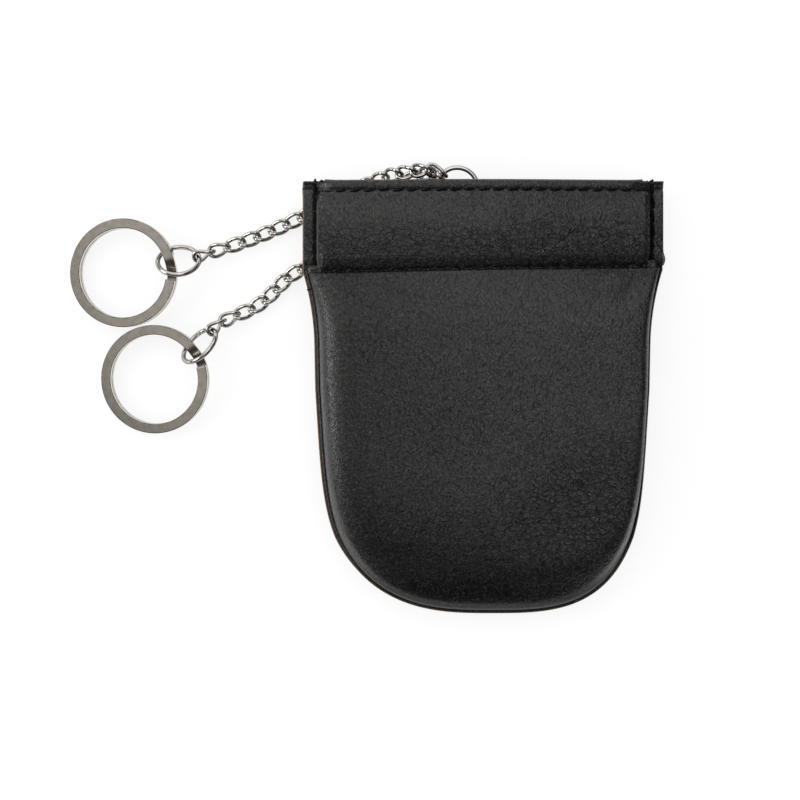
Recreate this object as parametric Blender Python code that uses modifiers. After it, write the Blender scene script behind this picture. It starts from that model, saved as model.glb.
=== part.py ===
"""Squeeze-frame key case with two key chains, lying on its back.

The pouch is two domed leather panels joined at a turned seam. Each panel's top edge is tucked
into a folded leather casing, and each casing hides a spring-steel strip. The two strips are
hinged on a pin at each end, so the mouth snaps shut by itself and opens when the ends are
squeezed. A ring held by a tab in the mouth carries two curb chains with split key rings.

Axes: +X to the right, +Y towards the mouth, +Z up out of the front panel. The origin is the
middle of the flat that the back panel rests on.
"""
import math

import bmesh
import bpy
import numpy as np
from mathutils import Matrix, Vector

MM = 0.001
CLEARANCE = 0.3 * MM

# Pouch: the seam outline lies in one plane, half way between the front and the back
SEAM_Z = 6.6 * MM
SEAM_HALF_GAP = 0.15 * MM
BODY_INSET = 3.15 * MM
BAND_OVERHANG = 0.2 * MM
BODY_BOTTOM_Y = -49.0 * MM
BODY_ROUND_START_Y = 2.0 * MM
BODY_ROUND_POWER = 3.0
BODY_SIDE_TAPER = 0.02
BODY_FLARE_LENGTH = 17.0 * MM
BODY_BOTTOM_LEAN = 2.2 * MM
BODY_LEAN_POWER = 4.0
BODY_WAIST = 0.65 * MM
BODY_WAIST_SPAN = 0.66
FRONT_CROWN = 5.9 * MM
BACK_CROWN = 7.2 * MM
CROWN_EDGE_POWER = 6.0
HEM_EDGE_POWER = 14.0
SHOULDER_LENGTH = 15.0 * MM
LEATHER_THICKNESS = 1.1 * MM
SKIVED_THICKNESS = 0.4 * MM
SKIVE_LENGTH = 1.6 * MM
TUCK_LENGTH = 3.4 * MM
BACK_EDGE_PROUD = 0.3 * MM
LINING_THICKNESS = 0.35 * MM
LINING_GAP = 0.45 * MM
RIM_HEIGHT = 0.9 * MM

# Casings: a strip folded over the mouth's edge, one at the front and one at the back
BAND_HALF_WIDTH = 40.9 * MM
BAND_TOP_Y = 49.4 * MM
HEM_Y = 29.1 * MM
HEM_RISE = 1.3 * MM
CASING_THICKNESS = 0.85 * MM
CHANNEL_DEPTH = 1.0 * MM
BAND_PUFF = 0.35 * MM
END_FLANGE_WIDTH = 2.5 * MM
END_SLOPE_WIDTH = 1.8 * MM
LIP_BOW = 1.2 * MM

# Spring frame: two strips with interleaved eyes on a pin at each end
SPRING_THICKNESS = 0.4 * MM
SPRING_WIDTH = 12.0 * MM
SPRING_TOP_MARGIN = 3.2 * MM
PIN_RADIUS = 0.45 * MM
PIN_CLEARANCE = 0.1 * MM
PIN_HEAD_RADIUS = 0.75 * MM
PIN_HEAD_LENGTH = 0.4 * MM
PIN_INSET = 1.4 * MM
EYE_REACH = 2.0 * MM
EYE_SPLIT = 0.3 * MM

# Anchor ring and its tab
RING_OUTER_DIAMETER = 10.6 * MM
RING_WIRE_DIAMETER = 1.1 * MM
RING_SPLIT = 0.15 * MM
ANCHOR_X = -5.95 * MM
ANCHOR_ABOVE_MOUTH = 3.6 * MM
TAB_WIDTH = 5.0 * MM
TAB_THICKNESS = 0.4 * MM
TAB_LENGTH = 12.0 * MM
TAB_CLEARANCE = 0.1 * MM

# Curb chain
LINK_WIRE_DIAMETER = 0.88 * MM
LINK_LENGTH = 5.75 * MM
LINK_WIDTH = 3.6 * MM
LINK_PLAY = 0.3 * MM
RING_PLAY = 0.15 * MM
UPPER_LINK_COUNT = 17
LOWER_LINK_COUNT = 19
LINK_FLOOR_GAP = 0.15 * MM

# Split key rings: flat wire wound twice, with a jog where it changes coil
KEY_RING_OUTER_DIAMETER = 25.0 * MM
KEY_RING_WIRE_WIDTH = 2.2 * MM
KEY_RING_WIRE_HEIGHT = 1.2 * MM
KEY_RING_COIL_GAP = 0.1 * MM
KEY_RING_EDGE_ROUND = 0.12 * MM
KEY_RING_JOG_START = math.radians(20.0)
KEY_RING_JOG_END = math.radians(-9.0)
JUMP_TO_KEY_RING = 1.7 * MM
KEY_RINGS_APART = 0.57 * MM

# Route of each chain beyond its first link: across from the anchor ring's centre, up from the
# mouth's edge, and how far it has climbed from the floor (0) to the anchor ring (1)
UPPER_ROUTE = (
    (-11.7, 2.20, 0.78),
    (-16.2, 1.75, 0.32),
    (-18.0, 0.72, 0.03),
    (-21.2, 0.10, 0.00),
    (-28.34, -3.70, 0.00),
    (-38.50, -8.75, 0.01),
    (-45.87, -11.98, 0.08),
    (-53.31, -14.65, 0.16),
    (-55.82, -14.51, 0.00),
    (-57.15, -15.94, 0.24),
    (-64.55, -18.37, 0.35),
)
LOWER_ROUTE = (
    (-9.0, 2.05, 0.08),
    (-13.7, -0.24, 0.05),
    (-19.0, -5.60, 0.00),
    (-23.98, -14.54, 0.00),
    (-37.33, -20.25, 0.01),
    (-43.76, -26.30, 0.00),
    (-48.87, -29.65, 0.04),
    (-52.33, -30.66, 0.17),
    (-55.13, -32.85, 0.43),
    (-58.14, -35.49, 0.65),
)

# First links: where each hooks on the anchor ring, which way it points and how it is rolled
UPPER_ANCHOR_HOOK = math.radians(137.3)
UPPER_FIRST_BEARING = math.radians(158.5)
UPPER_FIRST_DIP = math.radians(-11.0)
UPPER_ROLLS = (-47.5, -45.6, -33.4, -21.6, -7.4)
UPPER_LAST_ROLLS = (-1.6, -35.1, -67.9)
LOWER_ANCHOR_HOOK = math.radians(146.1)
LOWER_FIRST_BEARING = math.radians(138.4)
LOWER_FIRST_DIP = math.radians(48.7)
LOWER_ROLLS = (-52.7, -28.3, -22.5, -17.4, -8.7)
LOWER_LAST_ROLLS = (-7.0, -36.2, -60.7)

# Jump rings: how each leans and where the chain hooks on. The upper key ring lies on a bearing
# from its jump ring, and the lower one just clear of the upper.
UPPER_JUMP_BEARING = math.radians(192.0)
UPPER_JUMP_AXIS = math.radians(-1.6)
UPPER_JUMP_LEAN = math.radians(42.1)
UPPER_JUMP_HOOK = math.radians(21.0)
UPPER_JUMP_SPLIT = math.radians(190.0)
UPPER_KEY_RING_TILT = math.radians(6.6)
UPPER_KEY_RING_TURN = 0.0
LOWER_JUMP_AXIS = math.radians(43.5)
LOWER_JUMP_LEAN = math.radians(54.0)
LOWER_JUMP_HOOK = math.radians(16.25)
LOWER_JUMP_SPLIT = math.radians(65.0)
LOWER_KEY_RING_TILT = math.radians(6.5)
LOWER_KEY_RING_TURN = math.radians(24.0)

# Facet counts
PANEL_COLUMNS = 18
PANEL_ROUND_ROWS = 8
PANEL_SIDE_ROWS = 4
LINING_COLUMNS = 8
LINING_ROUND_ROWS = 5
LINING_SIDE_ROWS = 3
CASING_CHANNEL_COLUMNS = 7
FOLD_STEPS = 5
EYE_STEPS = 6
SPRING_COLUMNS = 4
LINK_POINTS = 14
RING_POINTS = 25
PIN_STEPS = 10
KEY_RING_STEPS_PER_TURN = 32

# Sizes that follow
BODY_HALF_WIDTH = BAND_HALF_WIDTH - BODY_INSET
BODY_TOP_HALF_WIDTH = BAND_HALF_WIDTH - BAND_OVERHANG
FLANGE_START = BAND_HALF_WIDTH - END_FLANGE_WIDTH
CHANNEL_HALF_WIDTH = FLANGE_START - END_SLOPE_WIDTH
PIN_X = CHANNEL_HALF_WIDTH - PIN_INSET
INNER_WALL_HALF_WIDTH = PIN_X - EYE_REACH
SPRING_TOP_Y = BAND_TOP_Y - SPRING_TOP_MARGIN
SPRING_BOTTOM_Y = SPRING_TOP_Y - SPRING_WIDTH
EYE_RADIUS = PIN_RADIUS + PIN_CLEARANCE + SPRING_THICKNESS / 2
RING_RADIUS = (RING_OUTER_DIAMETER - RING_WIRE_DIAMETER) / 2
ANCHOR_CENTRE = np.array((ANCHOR_X, BAND_TOP_Y + ANCHOR_ABOVE_MOUTH - RING_OUTER_DIAMETER / 2, SEAM_Z))
LINK_REACH = (LINK_LENGTH - LINK_WIRE_DIAMETER) / 2
LINK_BREADTH = (LINK_WIDTH - LINK_WIRE_DIAMETER) / 2
LINK_TWIST_RISE = LINK_BREADTH / 2
LINK_PITCH = 2 * LINK_REACH - LINK_WIRE_DIAMETER - LINK_PLAY
LINK_FLOOR_Z = LINK_TWIST_RISE + LINK_WIRE_DIAMETER / 2 + LINK_FLOOR_GAP
RING_HOLD = (LINK_WIRE_DIAMETER + RING_WIRE_DIAMETER) / 2 + RING_PLAY
KEY_RING_RADIUS = (KEY_RING_OUTER_DIAMETER - KEY_RING_WIRE_WIDTH) / 2
KEY_RING_AWAY = KEY_RING_RADIUS + JUMP_TO_KEY_RING


def clear_scene():
    for obj in list(bpy.data.objects):
        bpy.data.objects.remove(obj, do_unlink=True)


def make_material(name, colour, roughness, metallic):
    material = bpy.data.materials.new(name)
    material.use_nodes = True
    shader = material.node_tree.nodes["Principled BSDF"]
    shader.inputs["Base Color"].default_value = (*colour, 1.0)
    shader.inputs["Roughness"].default_value = roughness
    shader.inputs["Metallic"].default_value = metallic
    material.diffuse_color = (*colour, 1.0)
    return material


def new_collection(name):
    collection = bpy.data.collections.new(name)
    bpy.context.scene.collection.children.link(collection)
    return collection


def add_object(name, data, collection, material=None):
    obj = bpy.data.objects.new(name, data)
    collection.objects.link(obj)
    if material is not None and not data.materials:
        data.materials.append(material)
    return obj


def smooth(value):
    """Ease from 0 to 1 without corners."""
    t = min(max(value, 0.0), 1.0)
    return t * t * (3.0 - 2.0 * t)


def mix(low, high, share):
    return low + (high - low) * share


# Pouch outline

def hem_y(x):
    """The casing's lower edge, which climbs a little to the right."""
    return HEM_Y + HEM_RISE / 2 * x / BAND_HALF_WIDTH


def half_width(y):
    """Half the seam's width at a height on the straight sides."""
    taper = BODY_SIDE_TAPER * (y - BODY_ROUND_START_Y)
    flare_start = HEM_Y - BODY_FLARE_LENGTH
    flare = BODY_TOP_HALF_WIDTH - BODY_HALF_WIDTH - BODY_SIDE_TAPER * (HEM_Y - BODY_ROUND_START_Y)
    rise = max(0.0, (y - flare_start) / BODY_FLARE_LENGTH)
    return BODY_HALF_WIDTH + taper + flare * min(rise, 1.2) ** 2


def round_end(u, v, inset):
    """A point of the rounded bottom; u and v run over a square whose rim becomes the seam."""
    reach = max(abs(u), abs(v), 1e-9)
    du, dv = abs(u) / reach, abs(v) / reach
    fit = (du ** BODY_ROUND_POWER + dv ** BODY_ROUND_POWER) ** (-1.0 / BODY_ROUND_POWER)
    down = -v * fit
    height = BODY_ROUND_START_Y - BODY_BOTTOM_Y - inset
    waist = BODY_WAIST * math.sin(math.pi * min(down / BODY_WAIST_SPAN, 1.0))
    x = u * fit * (BODY_HALF_WIDTH - inset - waist)
    y = BODY_ROUND_START_Y - down * height
    rim = (abs(u * fit) ** BODY_ROUND_POWER + abs(v * fit) ** BODY_ROUND_POWER)
    rim = rim ** (1.0 / BODY_ROUND_POWER)
    lean = BODY_BOTTOM_LEAN * down ** BODY_LEAN_POWER
    return x + lean, y, rim


def lip_gap(x):
    """From the mid-plane to a lip's inner face: pinched at the ends, bowed in the middle."""
    bow = 0.5 * (1.0 + math.cos(math.pi * min(abs(x) / PIN_X, 1.0)))
    return SEAM_HALF_GAP + LIP_BOW * bow


def crown_height(x, y, crown):
    """Height of the panel's outer face above the mid-plane, before it rolls to the seam."""
    tucked = lip_gap(x) + CASING_THICKNESS + CHANNEL_DEPTH / 2 + SKIVED_THICKNESS / 2
    below = min(max((hem_y(x) - y) / SHOULDER_LENGTH, 0.0), 1.0)
    rise = 1.0 - (1.0 - below) ** 2
    power = mix(HEM_EDGE_POWER, CROWN_EDGE_POWER, rise)
    return mix(tucked, crown, rise), power


def shell_height(x, y, rim, crown, drop):
    """Height of a shell's outer face; drop sets it inside the panel's outer face."""
    height, power = crown_height(x, y, crown)
    edge = math.sqrt(max(0.0, 1.0 - min(rim, 1.0) ** power))
    rim_height = SEAM_HALF_GAP + RIM_HEIGHT
    return rim_height + (height - drop - rim_height) * edge


def panel_levels(round_rows, side_rows, top_offsets):
    """Rows of a shell: first down the rounded end, then the straight sides, then the top edge."""
    levels = [("round", -math.cos(math.pi / 2 * k / round_rows)) for k in range(round_rows)]
    levels += [("side", math.sin(math.pi / 2 * k / side_rows)) for k in range(side_rows + 1)]
    levels += [("top", offset) for offset in top_offsets]
    return levels


def make_sheet(name, columns, rows, place, thickness, collection, material, thin=None, keep=None):
    """A flat grid whose vertices are placed by a formula, thickened inward."""
    mesh = bpy.data.meshes.new(name)
    bm = bmesh.new()
    row_layer = bm.verts.layers.int.new("row")
    column_layer = bm.verts.layers.int.new("column")
    bmesh.ops.create_grid(bm, x_segments=columns, y_segments=rows, size=1.0)
    for vert in bm.verts:
        vert[column_layer] = round((vert.co.x + 1.0) / 2.0 * columns)
        vert[row_layer] = round((vert.co.y + 1.0) / 2.0 * rows)
    if keep is not None:
        dropped = []
        for face in bm.faces:
            column = min(vert[column_layer] for vert in face.verts)
            row = min(vert[row_layer] for vert in face.verts)
            if not keep(column, row):
                dropped.append(face)
        bmesh.ops.delete(bm, geom=dropped, context="FACES")
    for vert in bm.verts:
        vert.co = place(vert[column_layer], vert[row_layer])
    bmesh.ops.remove_doubles(bm, verts=bm.verts, dist=0.000001)
    full = [0.0 if thin and thin(vert[row_layer]) else 1.0 for vert in bm.verts]
    bm.to_mesh(mesh)
    bm.free()
    obj = add_object(name, mesh, collection, material)
    solid = obj.modifiers.new("Thickness", "SOLIDIFY")
    solid.thickness = thickness
    solid.offset = -1.0
    solid.use_even_offset = False
    if thin:
        group = obj.vertex_groups.new(name="full thickness")
        for index, weight in enumerate(full):
            group.add([index], weight, "REPLACE")
        solid.vertex_group = group.name
        solid.thickness_vertex_group = SKIVED_THICKNESS / thickness
    return obj


def make_shell(name, side, crown, inset, drop, thickness, columns, levels, collection, material,
               proud=0.0, thin_from=None):
    """A domed shell of the pouch: side is +1 for the front and -1 for the back."""

    def place(column, row):
        inner_column = min(max(column - 1, 0), columns)
        inner_row = max(row - 1, 0)
        on_rim = column in (0, columns + 2) or row == 0
        u = side * math.sin(math.pi / 2 * (2.0 * inner_column / columns - 1.0))
        kind, value = levels[inner_row]
        if kind == "round":
            x, y, rim = round_end(u, value, inset - proud)
        else:
            top = hem_y(u * BODY_TOP_HALF_WIDTH) - inset
            if kind == "side":
                y = mix(BODY_ROUND_START_Y, top - SKIVE_LENGTH, value)
            else:
                y = top + value
            x = u * (half_width(min(y, HEM_Y)) - inset + proud)
            rim = abs(u)
        height = SEAM_HALF_GAP if on_rim else shell_height(x, y, rim, crown, drop)
        z = SEAM_Z + side * height
        return Vector((x, y, max(z, drop) if side < 0 else z))

    thin = (lambda row: row - 1 >= thin_from) if thin_from is not None else None
    return make_sheet(name, columns + 2, len(levels), place, thickness, collection, material, thin)


def make_panel(name, side, crown, collection, cutters, material):
    """A leather panel with a skived edge that tucks up inside the casing."""
    skive_end = -CLEARANCE
    levels = panel_levels(PANEL_ROUND_ROWS, PANEL_SIDE_ROWS, (skive_end, TUCK_LENGTH))
    proud = BACK_EDGE_PROUD if side < 0 else 0.0
    thin_from = len(levels) - 2
    panel = make_shell(name, side, crown, 0.0, 0.0, LEATHER_THICKNESS, PANEL_COLUMNS, levels,
                       collection, material, proud, thin_from)
    tuck_half_width = CHANNEL_HALF_WIDTH - CLEARANCE
    block = HEM_Y
    for end in (-1.0, 1.0):
        corner_x = end * tuck_half_width
        lower = hem_y(end * (BAND_HALF_WIDTH + tuck_half_width) / 2) - 2 * CLEARANCE
        mesh = bpy.data.meshes.new("%s trim" % name)
        bm = bmesh.new()
        bmesh.ops.create_cube(bm, size=block)
        bm.to_mesh(mesh)
        bm.free()
        trim = add_object("%s trim" % name, mesh, cutters)
        trim.location = (corner_x + end * block / 2, lower + block / 2, SEAM_Z)
        trim.hide_render = True
        trim.display_type = "WIRE"
        cut = panel.modifiers.new("Trim beside the channel", "BOOLEAN")
        cut.object = trim
        cut.solver = "EXACT"
    return panel


def make_lining(name, side, crown, collection, material):
    """A thin lining that follows the panel's inner face."""
    inset = LEATHER_THICKNESS + LINING_GAP
    drop = LEATHER_THICKNESS + LINING_GAP
    levels = panel_levels(LINING_ROUND_ROWS, LINING_SIDE_ROWS, ())
    return make_shell(name, side, crown, inset, drop, LINING_THICKNESS, LINING_COLUMNS, levels,
                      collection, material)


# Casings

def casing_columns():
    """Column places on the outer wall: evenly along the channel, then across the end flange."""
    half = [CHANNEL_HALF_WIDTH * k / CASING_CHANNEL_COLUMNS for k in range(CASING_CHANNEL_COLUMNS + 1)]
    half += [FLANGE_START, BAND_HALF_WIDTH]
    return [-x for x in reversed(half[1:])] + half


def casing_profile(x_outer, x_inner):
    """Points up the inner wall, over the fold and down the outer wall, with the place along X."""
    inner = lip_gap(x_inner) + CASING_THICKNESS / 2
    pinch = smooth((abs(x_outer) - CHANNEL_HALF_WIDTH) / END_SLOPE_WIDTH)
    open_outer = lip_gap(x_outer) + CASING_THICKNESS * 1.5 + CHANNEL_DEPTH
    shut_outer = SEAM_HALF_GAP + CASING_THICKNESS / 2
    outer = mix(open_outer, shut_outer, pinch)
    radius = max((outer - inner) / 2, 0.0)
    fold_y = BAND_TOP_Y - CASING_THICKNESS / 2 - radius
    points = []
    for share in (0.0, 0.5):
        points.append((x_inner, mix(hem_y(x_inner), fold_y, share), inner))
    for step in range(FOLD_STEPS + 1):
        turn = math.pi * step / FOLD_STEPS
        x = mix(x_inner, x_outer, smooth(step / FOLD_STEPS))
        middle = (inner + outer) / 2
        points.append((x, fold_y + radius * math.sin(turn), middle - radius * math.cos(turn)))
    for share in (0.25, 0.5, 0.78, 1.0):
        puff = BAND_PUFF * math.sin(math.pi * share) * (1.0 - pinch)
        points.append((x_outer, mix(fold_y, hem_y(x_outer), share), outer + puff))
    return points


def make_casing(name, side, collection, material):
    columns = casing_columns()
    profiles = []
    for x_outer in columns:
        x_inner = x_outer * INNER_WALL_HALF_WIDTH / BAND_HALF_WIDTH
        profiles.append(casing_profile(x_outer, x_inner))

    def place(column, row):
        x, y, height = profiles[column][row]
        return Vector((x, y, SEAM_Z + side * height))

    casing = make_sheet(name, len(columns) - 1, len(profiles[0]) - 1, place, CASING_THICKNESS,
                        collection, material)
    casing.modifiers["Thickness"].offset = 0.0
    if side > 0:
        casing.data.flip_normals()
    return casing


# Spring frame

def spring_path():
    """Half of a strip seen end on, from the middle to the end of the eye: along X, and its height."""
    straight_end = PIN_X - EYE_REACH
    points = []
    for k in range(SPRING_COLUMNS + 1):
        x = straight_end * k / SPRING_COLUMNS
        points.append((x, lip_gap(x) + CASING_THICKNESS + CHANNEL_DEPTH / 2))
    start_height = points[-1][1]
    for share in (0.35, 0.7):
        x = mix(straight_end, PIN_X, share)
        points.append((x, mix(start_height, EYE_RADIUS, smooth(share))))
    first_eye = len(points)
    for step in range(EYE_STEPS + 1):
        turn = math.radians(90.0 - 270.0 * step / EYE_STEPS)
        points.append((PIN_X + EYE_RADIUS * math.cos(turn), EYE_RADIUS * math.sin(turn)))
    return points, first_eye


def make_spring(name, side, collection, material):
    half, first_eye = spring_path()
    path = [(-x, height) for x, height in reversed(half[1:])] + half
    eye_width = (SPRING_WIDTH - 2 * EYE_SPLIT) / 3
    levels = [SPRING_BOTTOM_Y, SPRING_BOTTOM_Y + eye_width]
    levels += [levels[-1] + EYE_SPLIT, levels[-1] + EYE_SPLIT + eye_width]
    levels += [levels[-1] + EYE_SPLIT, SPRING_TOP_Y]
    own_rows = (0, 4) if side > 0 else (2,)
    last = len(path) - 1
    eye_start = first_eye - 2
    reach = len(half) - 1

    def keep(column, row):
        from_middle = max(abs(column - reach), abs(column + 1 - reach))
        return from_middle <= eye_start or row in own_rows

    def place(column, row):
        x, height = path[column]
        return Vector((x, levels[row], SEAM_Z + side * height))

    spring = make_sheet(name, last, len(levels) - 1, place, SPRING_THICKNESS, collection, material,
                        keep=keep)
    spring.modifiers["Thickness"].offset = 0.0
    if side < 0:
        spring.data.flip_normals()
    return spring


def make_pin(name, x, collection, material):
    """A turned pin with a head at its upper end and a peened lower end."""
    length = SPRING_WIDTH + 2 * CLEARANCE
    profile = [
        (0.0, length / 2 + PIN_HEAD_LENGTH),
        (PIN_HEAD_RADIUS * 0.7, length / 2 + PIN_HEAD_LENGTH),
        (PIN_HEAD_RADIUS, length / 2 + PIN_HEAD_LENGTH / 2),
        (PIN_HEAD_RADIUS, length / 2),
        (PIN_RADIUS, length / 2),
        (PIN_RADIUS, -length / 2),
        (0.0, -length / 2),
    ]
    mesh = bpy.data.meshes.new(name)
    edges = [(k, k + 1) for k in range(len(profile) - 1)]
    mesh.from_pydata([(radius, 0.0, height) for radius, height in profile], edges, [])
    pin = add_object(name, mesh, collection, material)
    pin.location = (x, (SPRING_TOP_Y + SPRING_BOTTOM_Y) / 2, SEAM_Z)
    pin.rotation_euler = (-math.pi / 2, 0.0, 0.0)
    turn = pin.modifiers.new("Turned", "SCREW")
    turn.steps = PIN_STEPS
    turn.render_steps = PIN_STEPS
    turn.use_merge_vertices = True
    turn.merge_threshold = 0.00001
    return pin


# Anchor ring, jump rings and tab

def ring_frame(axis_bearing, lean):
    """Two unit vectors of a leaning ring's plane: the level one and the one that dips."""
    level = np.array((math.cos(axis_bearing), math.sin(axis_bearing), 0.0))
    across = np.array((-math.sin(axis_bearing), math.cos(axis_bearing), 0.0))
    dip = across * math.cos(lean) - np.array((0.0, 0.0, math.sin(lean)))
    return level, dip


def add_curve(name, points, radius, resolution, cyclic, collection, material):
    curve = bpy.data.curves.new(name, "CURVE")
    curve.dimensions = "3D"
    curve.bevel_depth = radius
    curve.bevel_resolution = resolution
    curve.use_fill_caps = not cyclic
    spline = curve.splines.new("POLY")
    spline.points.add(len(points) - 1)
    for spot, place in zip(spline.points, points):
        spot.co = (*place, 1.0)
    spline.use_cyclic_u = cyclic
    return add_object(name, curve, collection, material)


def make_ring(name, centre, level, dip, split, collection, material):
    """A round-wire ring, cut through at one place and butted shut."""
    opening = RING_SPLIT / RING_RADIUS
    points = []
    for k in range(RING_POINTS):
        turn = opening / 2 + (2 * math.pi - opening) * k / (RING_POINTS - 1)
        place = level * math.cos(split + turn) + dip * math.sin(split + turn)
        points.append(RING_RADIUS * place)
    ring = add_curve(name, points, RING_WIRE_DIAMETER / 2, 1, False, collection, material)
    ring.location = Vector(centre)
    return ring


def make_tab(collection, material):
    """A leather loop round the anchor ring's inner side, its ends sewn to the back casing."""
    half_hole = RING_WIRE_DIAMETER / 2 + TAB_CLEARANCE
    layer = half_hole + TAB_THICKNESS / 2
    sagitta = RING_RADIUS - math.sqrt(RING_RADIUS ** 2 - (TAB_WIDTH / 2) ** 2)
    wire_low = ANCHOR_CENTRE[1] - RING_RADIUS
    bend_y = wire_low + sagitta + TAB_CLEARANCE
    low_y = bend_y - TAB_LENGTH
    join_y = wire_low - RING_WIRE_DIAMETER
    flat = -layer + TAB_THICKNESS + TAB_CLEARANCE / 2
    path = [(low_y, -layer), (join_y, -layer), (bend_y, -layer)]
    for step in range(1, 6):
        turn = math.pi * step / 6
        path.append((bend_y + layer * math.sin(turn), -layer * math.cos(turn)))
    path += [(bend_y, layer), (wire_low - RING_WIRE_DIAMETER / 2, layer)]
    path += [(join_y - 2.0 * MM, flat), (low_y, flat)]

    def place(column, row):
        y, height = path[row]
        return Vector((ANCHOR_X + TAB_WIDTH * (column - 0.5), y, SEAM_Z + height))

    tab = make_sheet("ring_tab", 1, len(path) - 1, place, TAB_THICKNESS, collection, material)
    tab.modifiers["Thickness"].offset = 0.0
    return tab


# Chains

def smooth_route(points, steps=24):
    """A Catmull-Rom curve through the points, as short straight steps."""
    spots = [np.array(point) for point in points]
    spots = [2 * spots[0] - spots[1]] + spots + [2 * spots[-1] - spots[-2]]
    route = []
    for k in range(1, len(spots) - 2):
        a, b, c, d = spots[k - 1:k + 3]
        for step in range(steps):
            t = step / steps
            place = 0.5 * (2 * b + (c - a) * t + (2 * a - 5 * b + 4 * c - d) * t ** 2
                           + (3 * b - a - 3 * c + d) * t ** 3)
            route.append(place)
    route.append(spots[-2])
    return route


def link_places(first_hook, first_bearing, first_dip, route_points, count):
    """Ends of the links: the first hooks on the anchor ring, then each is a pitch from the last."""
    wire = ANCHOR_CENTRE + RING_RADIUS * np.array((math.cos(first_hook), math.sin(first_hook), 0.0))
    level = math.cos(first_dip)
    along = np.array((level * math.cos(first_bearing), level * math.sin(first_bearing),
                      -math.sin(first_dip)))
    centre = wire + along * (LINK_REACH - RING_HOLD)
    joints = [centre - along * LINK_PITCH / 2, centre + along * LINK_PITCH / 2]
    lift = ANCHOR_CENTRE[2] - LINK_FLOOR_Z
    world = [joints[-1]]
    for across, up, climb in route_points:
        world.append((ANCHOR_X + across * MM, BAND_TOP_Y + up * MM, LINK_FLOOR_Z + climb * lift))
    route = smooth_route(world)
    last_step = route[-1] - route[-2]
    route += [route[-1] + last_step * k for k in range(1, 400)]
    k = 0
    while len(joints) <= count:
        while np.linalg.norm(route[k] - joints[-1]) < LINK_PITCH:
            k += 1
        low, high = 0.0, 1.0
        for _ in range(30):
            share = (low + high) / 2
            if np.linalg.norm(mix(route[k - 1], route[k], share) - joints[-1]) < LINK_PITCH:
                low = share
            else:
                high = share
        joints.append(mix(route[k - 1], route[k], high))
    return joints


def link_curve(material):
    """One curb link: an oval wire, twisted so that its ends cross their neighbours' ends."""
    points = []
    for k in range(LINK_POINTS):
        turn = 2 * math.pi * (k + 0.5) / LINK_POINTS
        points.append((LINK_REACH * math.cos(turn), LINK_BREADTH * math.sin(turn),
                       LINK_TWIST_RISE * math.sin(2 * turn)))
    curve = bpy.data.curves.new("curb link", "CURVE")
    curve.dimensions = "3D"
    curve.bevel_depth = LINK_WIRE_DIAMETER / 2
    curve.bevel_resolution = 1
    spline = curve.splines.new("POLY")
    spline.points.add(len(points) - 1)
    for spot, place in zip(spline.points, points):
        spot.co = (*place, 1.0)
    spline.use_cyclic_u = True
    curve.materials.append(material)
    return curve


def frame_matrix(centre, along, roll):
    """A link's place: its length along the chain, its flat side up, then rolled."""
    x_axis = Vector(along).normalized()
    y_axis = Vector((0.0, 0.0, 1.0)).cross(x_axis).normalized()
    z_axis = x_axis.cross(y_axis)
    turn = Matrix((x_axis, y_axis, z_axis)).transposed().to_4x4()
    return Matrix.Translation(Vector(centre)) @ turn @ Matrix.Rotation(roll, 4, "X")


def make_chain(prefix, joints, first_rolls, last_rolls, link_data, collection):
    count = len(joints) - 1
    level_links = count - len(first_rolls) - len(last_rolls)
    rolls = first_rolls + (0.0,) * level_links + last_rolls
    for k in range(count):
        link = add_object("%s_chain_link_%02d" % (prefix, k + 1), link_data, collection)
        roll = math.radians(rolls[k])
        centre = (joints[k] + joints[k + 1]) / 2
        link.matrix_world = frame_matrix(centre, joints[k + 1] - joints[k], roll)


# Split key rings

def make_key_ring(name, centre_xy, bearing, tilt, start, wire_section, collection, material):
    """Flat wire round twice: a full upper coil, a jog down, then the lower coil beneath."""
    rise = (KEY_RING_WIRE_HEIGHT + KEY_RING_COIL_GAP) / 2
    jog = KEY_RING_JOG_START - KEY_RING_JOG_END
    coil = 2 * math.pi - jog
    steps = round(KEY_RING_STEPS_PER_TURN * (2 * coil + jog) / (2 * math.pi))
    points = []
    for k in range(steps + 1):
        turned = (2 * coil + jog) * k / steps
        height = mix(rise, -rise, smooth((turned - coil) / jog))
        turn = KEY_RING_JOG_END + start - turned
        points.append((KEY_RING_RADIUS * math.cos(turn), KEY_RING_RADIUS * math.sin(turn), height))
    curve = bpy.data.curves.new(name, "CURVE")
    curve.dimensions = "3D"
    curve.twist_mode = "Z_UP"
    curve.bevel_mode = "OBJECT"
    curve.bevel_object = wire_section
    curve.use_fill_caps = True
    spline = curve.splines.new("POLY")
    spline.points.add(len(points) - 1)
    for spot, place in zip(spline.points, points):
        spot.co = (*place, 1.0)
    ring = add_object(name, curve, collection, material)
    half_height = rise + KEY_RING_WIRE_HEIGHT / 2
    lift = KEY_RING_OUTER_DIAMETER / 2 * math.sin(tilt) + half_height * math.cos(tilt)
    hinge = Vector((-math.sin(bearing), math.cos(bearing), 0.0))
    place = Matrix.Translation((*centre_xy, lift + CLEARANCE / 3))
    ring.matrix_world = place @ Matrix.Rotation(tilt, 4, hinge)
    return ring


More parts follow.
